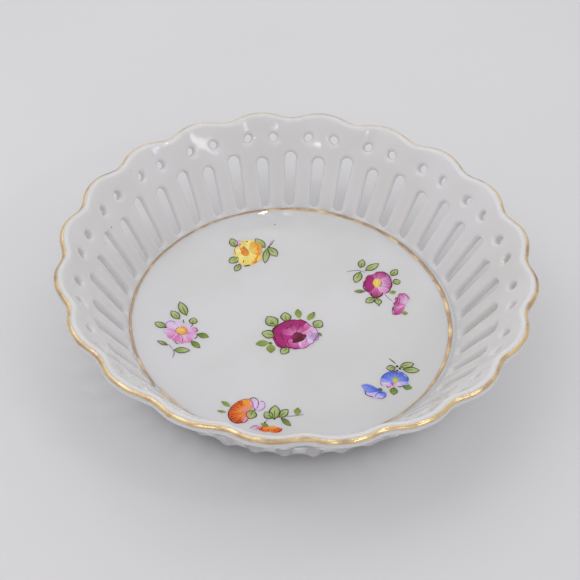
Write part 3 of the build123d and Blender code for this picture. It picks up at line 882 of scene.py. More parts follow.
FLOOR_STEP = 5  # in laps, height of the step under the floor's edge
GILT_TIP, GILT_START_TAPER, GILT_END_TAPER = 0.3, 150, 110  # width at a tip, and how soon it is full


def fading(way, size, haste):
    """What is left of a flick of the brush at a way from its end."""
    return size * math.exp(-way * haste)


class RINGDISH_OT_wall(bpy.types.Operator):
    """Builds the pierced wall with its ribs, openings and rolled lip"""
    bl_idname = "ringdish.wall"
    bl_label = "Pierced wall"

    def execute(self, context):
        dish = context.scene.ring_dish
        points, faces = build_wall(Wall(dish.wall))
        glaze = porcelain("wall_glaze", dish.glaze, dish.glaze.wall_glow)
        mesh_piece("glazed_wall", points, faces, glaze, "porcelain", ["pierced_wall"])
        return {"FINISHED"}


class RINGDISH_OT_floor(bpy.types.Operator):
    """Builds the floor plate"""
    bl_idname = "ringdish.floor"
    bl_label = "Well plate"

    def execute(self, context):
        dish = context.scene.ring_dish
        lap = dish.foot.plate_lap
        low, high = PLATE_LOW.z, PLATE_HIGH.z
        edge = dish.wall.plate_radius
        toe = edge - dish.wall.corner_round
        step = low + lap * FLOOR_STEP
        profile = [(radius, high) for radius in np.linspace(0, edge, FLOOR_TOP_RINGS)]
        profile += [(edge + lap / 2, high), (edge + lap, high), (edge + lap * 2, high - lap)]
        profile += [(edge + lap * 2, step), (toe + lap, step), (toe + lap, low + lap)]
        profile += [(radius, low) for radius in np.linspace(toe - lap, 0, FLOOR_UNDER_RINGS)]
        # The floor's glaze is a darker copy of the wall's glaze: painted shade.
        glaze = porcelain("floor_glaze", dish.glaze, dish.glaze.body_glow, dish.glaze.floor_painted_shade)
        mesh_piece("glazed_floor", *lathe(profile), glaze, "porcelain", ["well_plate"])
        return {"FINISHED"}


class RINGDISH_OT_foot(bpy.types.Operator):
    """Builds the foot ring with its bare resting edge"""
    bl_idname = "ringdish.foot"
    bl_label = "Foot ring"

    def execute(self, context):
        dish = context.scene.ring_dish
        outside = FOOT_HIGH.x
        inside = outside - dish.foot.foot_width
        turn = dish.foot.foot_round
        top = FOOT_HIGH.z + turn / 4
        profile = [(outside, top)]
        profile += arc((outside - turn, turn), turn, 0, -math.pi / 2, FOOT_ROUND_POINTS)
        profile += arc((inside + turn, turn), turn, -math.pi / 2, -math.pi, FOOT_ROUND_POINTS)
        profile.append((inside, top))
        glaze = porcelain("foot_glaze", dish.glaze, dish.glaze.body_glow, bare_foot=True)
        mesh_piece("glazed_foot", *lathe(profile), glaze, "porcelain", ["foot_ring"])
        return {"FINISHED"}


class RINGDISH_OT_gilding(bpy.types.Operator):
    """Lays the gilt band on the rim and the gilt line round the well"""
    bl_idname = "ringdish.gilding"
    bl_label = "Gilding"

    def execute(self, context):
        dish = context.scene.ring_dish
        gilt = dish.gilt
        turns = np.linspace(0, math.tau, GILT_STEPS + 1)[:-1]
        starts = gilt.band_start + gilt.band_wander * wander(turns, *BAND_START_WANDER)
        ends = gilt.band_end + gilt.band_wander * wander(turns, *BAND_END_WANDER)
        points, faces = lip_ring(Wall(dish.wall), turns, starts, ends, gilt.film, gilt.film / 2, BAND_POINTS)
        band_gold = gilding("rim_gilding", gilt, gilt.rim_wear)
        mesh_piece("gilt_band", points, faces, band_gold, "gilding", ["rim_gilt_band"])
        points, faces = self.line(gilt, dish.wall)
        line_gold = gilding("line_gilding", gilt, gilt.line_wear)
        mesh_piece("gilt_line", points, faces, line_gold, "gilding", ["well_gilt_line"])
        return {"FINISHED"}

    def line(self, gilt, wall):
        """The line round the well, open where the brush started and ended, and thin where it was pressed less."""
        points = []
        corner = wall.corner_round
        for step in range(GILT_STEPS + 1):
            share = step / GILT_STEPS
            turn = gilt.line_gap_angle + gilt.line_open_angle + (math.tau - 2 * gilt.line_open_angle) * share
            flick = fading(1 - share, *GILT_END_FLICK) - fading(share, *GILT_START_FLICK)
            sway = GILT_LOBE * math.cos(3 * turn + GILT_LOBE_TURN) - math.cos(2 * turn)
            radius = (gilt.line_radius + gilt.line_sway * (flick + sway)
                      + gilt.line_tremble * float(wander(turn, *GILT_TREMBLE)))
            taper = min(1, GILT_TIP + share * GILT_START_TAPER, GILT_TIP + (1 - share) * GILT_END_TAPER)
            press = np.interp(share, *zip(*GILT_PRESSURE))
            half = (gilt.line_width / 2 * taper * press
                    * (1 + GILT_PRESS_SHARE * float(wander(turn, *GILT_PRESS_WANDER))))
            for across, rise in GILT_SECTION:
                reach = radius + across * half
                x = reach * math.cos(turn) - gilt.line_shift
                y = reach * math.sin(turn) - gilt.line_shift * GILT_SIDE_SHIFT
                beyond = min(max(math.hypot(x, y) - wall.plate_radius, 0), corner * CORNER_CLIMB)
                corner_rise = corner - math.sqrt(corner ** 2 - beyond ** 2)
                points.append((x, y, wall.floor_height + corner_rise + rise * gilt.line_film))
        return points, section_faces(GILT_STEPS + 1, len(GILT_SECTION), closed=False)


# Sprigs
#
# Places are in millimetres from the middle of the floor. A leaf is its base, tip, width and style, "lined" where
# none is given; a petal its base, tip, width and the colours of base and tip; a line its places, width and colour;
# a dot its middle, radius and colour.

ROSE = (
    Coat("rose_leaves", "green_enamel", leaves=(
        ((1.4, -0.8), (0.6, 2.3), 1.8, "solid"), ((3.5, -1.1), (4.8, 1.9), 1.7, "solid"),
        ((5.4, -3.2), (6.7, -0.7), 2.5), ((-1.4, -2.4), (-2.2, 0.6), 2.5), ((-3.6, -4.3), (-6.2, -1.5), 3.1),
        ((-3.4, -7.4), (-6.7, -7), 2.6), ((-4.5, -9.8), (-7.6, -10.9), 2.1, "solid"),
        ((-4.1, -10.2), (-3.6, -13.1), 2.2, "solid"), ((0, -10.5), (-1.2, -13), 2),
        ((6.6, -4.6), (7.3, -5.8), 0.8, "dark")
    ), dots=(
        ((-4.7, -3.6), 0.55, "deep_green"), ((-4.2, -10), 0.4, "deep_green"), ((-4.9, -7.5), 0.4, "deep_green"),
        ((6.3, -0.9), 0.3, "umber"), ((4.6, 1.6), 0.3, "umber")
    )),
    Coat("rose_petals", "crimson_enamel", petals=(
        ((1, -7), (-4.1, -5.6), 7.2, "magenta", "crimson"), ((0.6, -7.2), (-2.6, -10.6), 5.4, "magenta", "crimson"),
        ((1, -5.8), (-1.6, -2), 5.6, "magenta", "crimson"), ((1.6, -5.4), (1.8, -1.2), 4.6, "magenta", "crimson"),
        ((1.6, -7.6), (1.2, -10.8), 4.8, "pink", "magenta"), ((2.4, -7.2), (4, -10.2), 3.8, "lilac", "pink"),
        ((3, -6.8), (5.5, -8.8), 3.8, "lilac", "lilac"), ((3, -6.2), (6.8, -5.8), 4, "lilac", "violet"),
        ((2.6, -5.6), (5.9, -3.4), 4.2, "pink", "lilac"), ((2.2, -5.4), (3.9, -2.2), 3.6, "magenta", "pink"),
        ((1.2, -6.4), (-2.2, -5.4), 3, "pink", "magenta"), ((1, -6), (-0.4, -3.4), 3, "pink", "crimson"),
        ((1.8, -5.8), (2.2, -3.2), 2.8, "pink", "crimson"), ((2.8, -6), (4.8, -4.8), 2.4, "pink", "lilac"),
        ((2.6, -7), (4.4, -7.9), 2.4, "violet", "lilac"), ((1, -7.6), (-0.8, -9), 2.6, "pink", "magenta")
    ), lines=(
        ([(-2.9, -9.3), (-4, -6.8), (-4.2, -5.3), (-2.5, -3.1), (-0.8, -1.9), (0.6, -1.4)], 0.3, "wine"),
        ([(1.5, -1.1), (3, -1.6), (4.3, -2.8), (5.4, -3.3), (6.3, -4.4)], 0.18, "plum"),
        ([(6.3, -4.5), (6.5, -5.4), (6.2, -6.2), (5.8, -7.2), (5.6, -8.2), (4.8, -8.9), (4.3, -9.8),
          (3.4, -10.5)], 0.18, "plum"),
        ([(2.9, -10.4), (1.6, -10.9), (0.4, -10.5)], 0.2, "plum"),
        ([(0.2, -10.4), (-1.3, -10.9), (-2.8, -9.5)], 0.24, "wine"),
        ([(3.6, -7.2), (4, -7.8), (3.8, -8.6)], 0.18, "plum"),
        ([(4.4, -4.5), (5.1, -5.4), (4.8, -6.4)], 0.22, "violet"),
        ([(-0.4, -8.2), (-0.2, -9.2), (0.2, -9.9)], 0.22, "wine"),
        ([(-2.2, -6), (-2, -7.4), (-1.2, -8.6)], 0.24, "wine"), ([(-1.6, -5), (-0.4, -4), (0.2, -3)], 0.26, "wine"),
        ([(1.4, -4.8), (1.7, -3.8), (2, -2.8)], 0.26, "wine")
    )),
    Coat("rose_heart", "dark_red_enamel", petals=(
        ((1, -9), (3, -5.9), 2.6, "wine", "wine"), ((0.5, -7.9), (2.4, -5.6), 2, "crimson", "wine"),
        ((3.2, -7.4), (3.5, -5.8), 0.9, "crimson", "wine")
    ), level=1))

YELLOW_ROSE = (
    Coat("yellow_rose_leaves", "green_enamel", leaves=(
        ((-17.5, 21.3), (-19.1, 24.3), 2), ((-10.2, 22.4), (-13.1, 25.3), 2.1), ((-9.3, 22.7), (-6.8, 19.7), 2.3),
        ((-9.6, 22.3), (-9.4, 16.7), 1.6), ((-16.3, 17.7), (-18.1, 15.3), 2.2), ((-15.4, 15.3), (-16.2, 12.6), 1.6)
    ), lines=(
        ([(-9.3, 22.8), (-9.1, 24), (-9, 25.2)], 0.18, "violet"),
        ([(-9.2, 22.9), (-8.7, 24.3), (-8.4, 25.6)], 0.2, "umber")
    ), dots=(
        ((-9.3, 22.8), 0.32, "umber"),
    )),
    Coat("yellow_rose_petals", "yellow_enamel", petals=(
        ((-14.2, 19.8), (-17.6, 20.4), 5.4, "lemon", "lemon"),
        ((-14.2, 19.2), (-16.4, 16.6), 4.2, "lemon", "lemon"), ((-13.9, 19), (-13.7, 15), 4.6, "lemon", "yellow"),
        ((-13.6, 20), (-11.2, 17), 4.4, "lemon", "yellow"), ((-13.8, 20.4), (-10.8, 20.6), 4.4, "yellow", "orange"),
        ((-13.8, 20.8), (-11.8, 23.8), 4.2, "yellow", "orange"), ((-14.3, 21), (-14, 24.8), 4.2, "lemon", "lemon"),
        ((-14.6, 20.8), (-16.4, 23.6), 3.6, "lemon", "yellow"), ((-14, 21.2), (-13.2, 18.2), 2.6, "lemon", "lemon"),
        ((-16.6, 21.4), (-17.2, 23.9), 1.5, "pink", "lilac")
    ), lines=(
        ([(-12.9, 24.1), (-12, 22.4), (-11.5, 20.3), (-11.7, 18.1), (-12.4, 15.9)], 1, "orange"),
        ([(-12.2, 23), (-12, 22), (-12, 21.1)], 0.5, "rust"),
        ([(-14.3, 14.8), (-13.6, 15.1), (-12.8, 15.5)], 0.45, "umber"),
        ([(-17.6, 20.6), (-17.4, 19.4), (-16.9, 18.3)], 0.24, "rust"), ([(-14.7, 16.9), (-14.7, 16)], 0.3, "umber"),
        ([(-11.8, 17.8), (-11.6, 17), (-11.8, 16.3)], 0.35, "rust")
    ), dots=(
        ((-17.1, 23.6), 0.26, "umber"), ((-17.2, 22), 0.28, "umber"), ((-16.5, 22.4), 0.2, "plum"),
        ((-15, 23.8), 0.24, "umber"), ((-14.1, 23.1), 0.2, "rust"), ((-13.1, 21.9), 0.22, "rust")
    )),
    Coat("yellow_rose_heart", "orange_enamel", petals=(
        ((-15.6, 21.8), (-14.4, 18.4), 2, "rust", "orange"), ((-16.4, 21.2), (-15.2, 20.2), 1, "orange", "orange")
    ), level=1))

PURPLE_FLOWER = (
    Coat("purple_flower_leaves", "green_enamel", leaves=(
        ((14.2, 19.2), (14.5, 22.3), 1.7), ((15.5, 18.4), (18.6, 21.5), 1.8), ((14.3, 17.7), (13.4, 13.6), 2),
        ((16.1, 11.1), (13.4, 10.6), 1.3, "dark"), ((18.5, 9.2), (16.6, 7.2), 1.8), ((19.2, 9.1), (19.9, 7.1), 1.7),
        ((22, 17.7), (23.3, 20.2), 1.7), ((22.5, 15.4), (24.4, 16.1), 1.8),
        ((22.1, 11.4), (23.5, 12.4), 1.4, "solid"), ((26.2, 6), (26.2, 4.6), 1.5, "solid")
    ), lines=(
        ([(11, 17.3), (12.4, 17.8), (13.8, 18.2), (15.5, 17.7)], 0.2, "violet"),
        ([(20.9, 11), (21.8, 9.8), (22.9, 8.9)], 0.2, "violet")
    ), dots=(
        ((19.8, 6.8), 0.22, "umber"),
    )),
    Coat("purple_flower_petals", "purple_enamel", petals=(
        ((19, 14.4), (22.3, 14), 3.8, "lilac", "magenta"), ((19, 15), (21.9, 17), 3.8, "lilac", "magenta"),
        ((19, 13.4), (21.5, 11.6), 3, "lilac", "pink"), ((18.7, 15.4), (19.9, 18.7), 3.4, "pink", "crimson"),
        ((18.5, 15.2), (17.7, 17.6), 2.8, "violet", "magenta"),
        ((18.4, 14.8), (16.2, 16.7), 3.2, "magenta", "crimson"),
        ((18.3, 14), (15.4, 13.4), 3.6, "magenta", "crimson"),
        ((18.2, 13.2), (16.4, 11.4), 3, "magenta", "crimson"), ((18.7, 13.2), (18.7, 9.3), 3.4, "pink", "crimson")
    ), lines=(
        ([(18.1, 17.7), (19, 18.4), (19.9, 18.7), (21, 18.1), (21.8, 17.2)], 0.3, "plum"),
        ([(21.7, 17.3), (22, 16.2), (22.4, 14.4), (22.1, 13.1), (21.8, 12), (21.1, 11.3)], 0.3, "plum"),
        ([(20.4, 11.4), (20.2, 10.4), (19.3, 9.5), (18.5, 9.3), (17.8, 10), (17.6, 11)], 0.42, "wine"),
        ([(17.2, 10.9), (16.1, 11.5), (15.5, 12.8), (15.9, 14.1)], 0.34, "plum"),
        ([(15.9, 14.1), (16, 15.6), (16.5, 16.9)], 0.34, "crimson"),
        ([(20, 15.9), (20.8, 15.4), (21.6, 15.5)], 0.3, "violet")
    )),
    Coat("purple_flower_eye", "yellow_enamel", petals=(
        ((18.7, 12.7), (18.7, 16), 2.2, "yellow", "yellow"),
    ), lines=(
        ([(17.8, 13), (17.6, 14.2), (17.9, 15.4)], 0.22, "rust"),
        ([(19.6, 15.5), (19.8, 14.4), (19.6, 13.2)], 0.16, "rust")
    ), level=1),
    Coat("purple_flower_bud", "purple_enamel", petals=(
        ((26.2, 8.4), (25.8, 12), 2, "lilac", "pink"), ((26.1, 8.5), (24.6, 11.9), 2.1, "lilac", "magenta"),
        ((26.2, 8.2), (23.6, 10.2), 2.2, "lilac", "magenta"), ((26.2, 8), (23.2, 8), 2.2, "pink", "magenta"),
        ((26.2, 7.8), (23.1, 5.9), 2.2, "lilac", "crimson"), ((26, 7.8), (23.8, 4.3), 2, "pink", "magenta")
    ), lines=(
        ([(24, 10.4), (24.1, 9.2), (23.8, 8)], 0.3, "wine"), ([(24.6, 10), (24.6, 8.8), (24.3, 7.4)], 0.2, "wine"),
        ([(23.4, 7), (23.2, 5.4), (23.5, 4.3), (24.1, 4.9)], 0.16, "plum"),
        ([(25, 11.8), (25.7, 11.9), (26, 11.2)], 0.16, "plum"),
        ([(25.9, 11.5), (26.5, 11), (27.1, 10.2)], 0.2, "umber")
    )))

DAISY_MIDDLE, DAISY_EYE_RADII, DAISY_STAMENS = (-25.3, -9.6), (1.35, 1.3), 14
DAISY_RIM = tuple(((DAISY_MIDDLE[0] + DAISY_EYE_RADII[0] * math.cos(turn),
                    DAISY_MIDDLE[1] + DAISY_EYE_RADII[1] * math.sin(turn)), 0.16, "rust")
                  for turn in np.linspace(0, math.tau, DAISY_STAMENS + 1)[:-1])
DAISY = (
    Coat("daisy_leaves", "green_enamel", leaves=(
        ((-25.1, -4.4), (-27.6, -0.2), 2), ((-26.5, -5.9), (-29, -3.5), 1.8), ((-23.2, -7), (-23.2, -4.9), 1.9),
        ((-29.2, -9), (-32, -8), 1.7), ((-21.6, -9.9), (-18.6, -10.5), 1.9, "dark"),
        ((-22.6, -12.3), (-20, -14.3), 1.7, "dark"), ((-25.9, -15.9), (-22.2, -15.4), 1.7),
        ((-27.6, -14.6), (-30.2, -13.7), 0.9)
    ), lines=(
        ([(-25.6, -5.9), (-25.4, -6.5), (-25.2, -7)], 0.24, "plum"),
        ([(-23.1, -7), (-23.2, -7.6), (-23.5, -8.2)], 0.22, "plum"),
        ([(-27.4, -14.3), (-26.8, -15), (-26.2, -15.8)], 0.18, "violet"),
        ([(-26, -16), (-25.6, -17), (-25.7, -18.3)], 0.26, "violet")
    ), dots=(
        ((-29.3, -9), 0.35, "plum"),
    )),
    Coat("daisy_petals", "pink_enamel", petals=(
        ((-26, -9.2), (-29.1, -7.3), 2.4, "lilac", "lilac"), ((-25.6, -8.8), (-27.2, -6.9), 2.2, "lilac", "lilac"),
        ((-24.8, -8.9), (-23.2, -7.4), 2.2, "lilac", "lilac"), ((-24.4, -9.4), (-21.7, -8.6), 2.2, "lilac", "pink"),
        ((-24.4, -10), (-21.5, -10.9), 2.4, "pink", "lilac"),
        ((-24.6, -10.4), (-22.6, -12.8), 2.6, "lilac", "pink"),
        ((-25.1, -10.6), (-24.4, -13.6), 2.5, "lilac", "pink"),
        ((-25.6, -10.6), (-26.2, -13.2), 2.5, "pink", "pink"), ((-26, -10.3), (-28, -12.2), 2.6, "lilac", "pink"),
        ((-26.2, -9.9), (-29.4, -10.2), 2.3, "pink", "lilac")
    ), lines=(
        ([(-29.3, -8.6), (-29.3, -7.6), (-28.6, -6.9), (-27.7, -6.9), (-27.2, -7.5)], 0.22, "violet"),
        ([(-22.2, -8), (-21.7, -8.7), (-21.8, -9.4)], 0.24, "plum"),
        ([(-21.6, -9.9), (-21.4, -10.8), (-21.8, -11.6)], 0.22, "plum"),
        ([(-26.2, -13.1), (-25.7, -13.7), (-25.2, -13.8)], 0.2, "plum"),
        ([(-25, -11), (-24.6, -12.2), (-24.3, -13.2)], 0.2, "magenta"),
        ([(-26.6, -10.8), (-27, -11.8), (-27.6, -12.3)], 0.18, "magenta")
    )),
    Coat("daisy_eye", "yellow_enamel", petals=(
        ((-26.6, -9.6), (-24, -9.6), 2.5, "yellow", "orange"),
        ((-25.9, -9.4), (-24.7, -9.5), 1.3, "yellow", "yellow")
    ), dots=DAISY_RIM, level=1))

BLUE_FLOWER = (
    Coat("blue_flower_leaves", "green_enamel", leaves=(
        ((25.3, -12.9), (23.2, -13.3), 1.7), ((26.3, -12.4), (29.4, -10.8), 1.8), ((27, -13.1), (30.8, -12.7), 1.8),
        ((25.3, -18.8), (25.5, -21.2), 2, "dark"), ((27.1, -18.1), (29.5, -18.4), 1.9, "dark")
    ), lines=(
        ([(23.6, -10.2), (24.4, -10.8), (25.2, -11.6)], 0.26, "umber"),
    ), dots=(
        ((25.6, -12.3), 0.36, "umber"), ((26.3, -12.9), 0.34, "umber"), ((25.7, -13.5), 0.26, "umber"),
        ((22.3, -20.1), 0.55, "deep_green")
    )),
    Coat("blue_flower_lower_petals", "lilac_enamel", petals=(
        ((24.8, -17.3), (22.5, -18.3), 1.9, "lilac", "lilac"), ((25.2, -17.6), (24.2, -19.1), 1.7, "pink", "lilac"),
        ((25.8, -17.4), (26.9, -18.3), 1.5, "lilac", "lilac")
    ), lines=(
        ([(22.4, -17.4), (22.2, -18.2), (22.8, -18.9)], 0.16, "violet"),
        ([(23.6, -18.6), (24.1, -19.1), (24.6, -18.6)], 0.2, "plum"),
        ([(24.9, -18.5), (24.9, -17.9), (24.5, -17.6)], 0.26, "plum"),
        ([(26.1, -18.4), (26.7, -18.5), (27.1, -18.2)], 0.2, "plum")
    )),
    Coat("blue_flower_upper_petals", "blue_enamel", petals=(
        ((25.6, -17.3), (28.6, -17.3), 1.8, "lilac", "sky"), ((25.4, -17.3), (22.2, -17.2), 1.9, "sky", "sky"),
        ((25.4, -17.2), (22.6, -15.6), 2.6, "sky", "blue"), ((25.4, -17.1), (23.7, -14.4), 2.7, "sky", "blue"),
        ((25.4, -17), (25.2, -13.9), 2.7, "sky", "deep_blue"), ((25.5, -17), (26.9, -14.2), 2.7, "sky", "blue"),
        ((25.6, -17.1), (28.3, -15.5), 2.6, "sky", "blue")
    ), lines=(
        ([(22.2, -17.4), (22.4, -16.1), (23.2, -14.9), (24.4, -14.1)], 0.16, "deep_blue"),
        ([(24.5, -14), (25.8, -13.8), (27.2, -14.2), (28.3, -15.3), (28.6, -16.6)], 0.14, "deep_blue"),
        ([(24.4, -16), (24.3, -15.2), (24.4, -14.6)], 0.2, "deep_blue"),
        ([(26.6, -16), (26.9, -15.3), (27, -14.8)], 0.18, "deep_blue")
    )),
    Coat("blue_flower_eye", "yellow_enamel", petals=(
        ((25.4, -17.5), (25.7, -15.8), 1.5, "yellow", "green"),
    ), level=1),
    Coat("blue_flower_bud", "blue_enamel", petals=(
        ((21.8, -20.6), (19.4, -22.2), 2.2, "sky", "lilac"), ((22, -20.6), (21, -22.8), 2.2, "sky", "lilac"),
        ((22, -20.8), (22.9, -22.9), 1.9, "sky", "lilac"), ((21.8, -20.9), (23.9, -21.6), 1.8, "blue", "sky"),
        ((22.4, -20.5), (18, -19.5), 2.1, "blue", "sky"), ((22, -20.6), (18.6, -20.9), 1.7, "blue", "sky")
    ), lines=(
        ([(18.2, -19.5), (19.4, -19.4), (20.8, -20), (22, -20.6)], 0.26, "deep_blue"),
        ([(19.2, -20.8), (19.1, -21.8), (20.1, -22.4), (21.2, -22.6)], 0.22, "plum"),
        ([(21.4, -22.6), (21.6, -21.5), (22.4, -20.9), (23.4, -21.1), (23.6, -21.9), (22.9, -22.7),
          (21.9, -22.7)], 0.22, "deep_blue")
    )))

FAN_HEART, FAN_STEP = (-6, -31.6), (-0.06, 0.04)  # where the fan's petals start, and how far apart
FAN_TIPS = ((-6.4, -27.7), (-7.6, -28.1), (-8.8, -28.9), (-9.7, -30.1), (-10.2, -31.5), (-10.3, -33),
            (-9.6, -34.4), (-8.3, -35.1), (-7, -34.8))
# Shares of the way from the heart to a tip: the pale hearts' ends, and the starts of the lines and of the short ones.
FAN_PALE_START, FAN_PALE_END, FAN_LINE_START, FAN_SHORT_START = 0.06, 0.55, 0.62, 0.8


def between(start, end, share):
    """Place at a share of the way from one place to another."""
    return tuple(a + (b - a) * share for a, b in zip(start, end))


def fan_petals():
    """The fan's petals, and the pale hearts on all but the outermost."""
    petals = [((FAN_HEART[0] + FAN_STEP[0] * number, FAN_HEART[1] + FAN_STEP[1] * number), tip, 2.4, "orange",
               "orange" if number < 2 else "red") for number, tip in enumerate(FAN_TIPS)]
    return petals + [(between(FAN_HEART, tip, FAN_PALE_START), between(FAN_HEART, tip, FAN_PALE_END), 1.3, "pink",
                      "orange") for tip in FAN_TIPS[1:-1]]


def fan_lines():
    """Lines down the fan's petals, short ones between them, and its outline."""
    lines = [([between(FAN_HEART, tip, FAN_LINE_START), tip], 0.26, "deep_red") for tip in FAN_TIPS[2:]]
    for first, second in zip(FAN_TIPS[1:], FAN_TIPS[2:]):
        edge = between(first, second, 0.5)
        lines.append(([between(FAN_HEART, edge, FAN_SHORT_START), edge], 0.2, "deep_red"))
    return lines + [(FAN_TIPS[3:], 0.3, "deep_red"), (FAN_TIPS[:4], 0.16, "rust")]


ORANGE_FLOWER = (
    Coat("orange_flower_leaves", "green_enamel", leaves=(
        ((-5, -30.9), (-5.6, -33.4), 2.4), ((-10.2, -30.6), (-12.5, -29.4), 1.2, "solid"),
        ((-10.8, -32.4), (-13, -32.3), 0.8, "solid"), ((-0.2, -32.6), (-0.4, -28.6), 2.5),
        ((-0.7, -32.5), (-2.5, -31), 2), ((0.9, -31.9), (2.5, -29.3), 1.8), ((1.3, -31.9), (3.8, -34), 1.5, "dark"),
        ((4.7, -30.7), (4.6, -28.4), 1.7, "solid"), ((-1, -34.9), (-2.9, -34.3), 1.1, "dark")
    ), lines=(
        ([(2.5, -31.4), (4.5, -30.8), (6.1, -30.2)], 0.2, "violet"), ([(-2, -34), (-1.6, -33)], 0.18, "violet")
    ), dots=(
        ((1.7, -32.3), 0.4, "umber"), ((-2, -33.9), 0.24, "umber"), ((-0.1, -32.4), 0.3, "umber")
    )),
    Coat("orange_flower_petals", "orange_enamel", petals=fan_petals(), lines=fan_lines()),
    Coat("orange_flower_pale_petals", "lilac_enamel", petals=(
        ((-6, -30.7), (-5.8, -27.6), 1.5, "pink", "lilac"), ((-5, -30.8), (-4.7, -27.5), 1.4, "lilac", "lilac"),
        ((-4.2, -30.8), (-3.1, -28.1), 1.5, "lilac", "lilac"), ((-6.4, -32.8), (-6.8, -34.6), 1.2, "pink", "lilac")
    ), lines=(
        ([(-5.1, -30.4), (-5.4, -29), (-6.2, -27.7), (-5.4, -27.2), (-4.6, -27.7), (-4.2, -28.8),
          (-4.3, -30.2)], 0.2, "plum"),
        ([(-3.9, -28), (-3.1, -28), (-2.7, -29.2), (-3, -30.2), (-3.8, -30.8)], 0.16, "violet"),
        ([(-4.9, -30.2), (-4.6, -30.9)], 0.3, "plum"), ([(-6.6, -34.7), (-5.9, -33.9)], 0.2, "plum")
    )),
    Coat("orange_flower_bud", "orange_enamel", petals=(
        ((-2.2, -35.2), (-4.8, -36), 1.2, "pink", "lilac"), ((0.8, -35.4), (-3.2, -35.8), 1.8, "orange", "red"),
        ((-2.4, -35.6), (2, -35.5), 1.9, "orange", "red"), ((-1.8, -35.4), (1, -35), 1.2, "orange", "orange")
    ), lines=(
        ([(-5, -36), (-4.3, -35.3), (-3.5, -35)], 0.15, "plum"), ([(-2.3, -35.1), (-2.5, -36.1)], 0.2, "deep_red"),
        ([(-1, -35.6), (-0.9, -36.3)], 0.18, "deep_red"), ([(0.3, -35.6), (0.6, -36.1)], 0.18, "deep_red"),
        ([(-3.6, -36.1), (-3.2, -35.4)], 0.16, "plum"),
        ([(1.7, -34.8), (1.9, -35.4), (1, -36.2)], 0.16, "deep_red")
    )))


def paint_sprig(context, coats):
    """Paints the coats of one sprig on the floor."""
    dish = context.scene.ring_dish
    for coat in coats:
        lift = coat.level * dish.enamel.relief * COAT_LIFT
        painting = Painting(dish.enamel, dish.wall.floor_height + lift)
        for brush, table in ((painting.leaf, coat.leaves), (painting.blade, coat.petals),
                             (painting.stroke, coat.lines), (painting.dot, coat.dots)):
            for touch in table:
                brush(*touch)
        mesh_piece("painted_" + coat.name, painting.points, painting.faces, enamel(), coat.slot, [coat.name],
                   np.array(painting.paint))
    return {"FINISHED"}


class RINGDISH_OT_rose(bpy.types.Operator):
    """Paints the crimson rose in the middle of the floor"""
    bl_idname = "ringdish.rose"
    bl_label = "Crimson rose"

    def execute(self, context):
        return paint_sprig(context, ROSE)


class RINGDISH_OT_yellow_rose(bpy.types.Operator):
    """Paints the yellow rose"""
    bl_idname = "ringdish.yellow_rose"
    bl_label = "Yellow rose"

    def execute(self, context):
        return paint_sprig(context, YELLOW_ROSE)


class RINGDISH_OT_purple_flower(bpy.types.Operator):
    """Paints the open purple flower and its bud"""
    bl_idname = "ringdish.purple_flower"
    bl_label = "Purple flower"

    def execute(self, context):
        return paint_sprig(context, PURPLE_FLOWER)


class RINGDISH_OT_daisy(bpy.types.Operator):
    """Paints the pink daisy"""
    bl_idname = "ringdish.daisy"
    bl_label = "Pink daisy"

    def execute(self, context):
        return paint_sprig(context, DAISY)


class RINGDISH_OT_blue_flower(bpy.types.Operator):
    """Paints the blue flower and its bud"""
    bl_idname = "ringdish.blue_flower"
    bl_label = "Blue flower"

    def execute(self, context):
        return paint_sprig(context, BLUE_FLOWER)


class RINGDISH_OT_orange_flower(bpy.types.Operator):
    """Paints the orange fan flower and its bud"""
    bl_idname = "ringdish.orange_flower"
    bl_label = "Orange fan flower"

    def execute(self, context):
        return paint_sprig(context, ORANGE_FLOWER)


# Stage

LAMPS = (  # name, heading and height in degrees, distance, width and height, and share of which power
    ("key", -150, 60, 0.9, (0.7, 0.6), "key_power", 1),
    ("back", 132, 60, 0.6, (1.1, 0.6), "back_power", 1),
    ("back_window", 97.5, 39.6, 0.9, (0.03, 0.012), "window_power", 0.06),
    ("tall_window", -10, 62, 0.9, (0.010, 0.45), "window_power", 1),
    ("window", -30, 38, 0.9, (0.40, 0.05), "window_power", 1),
    ("far_window", -84, 41, 0.9, (0.25, 0.02), "window_power", 0.5))
ROOM_COLOUR = (0.99, 0.985, 0.99, 1)
TABLE_HEIGHT = -0.01 * MM
TABLE_SHADE = 0.965  # of the table's colour, in its darker clouds
SENSOR_WIDTH = 36
NEAREST_VIEW = 0.01


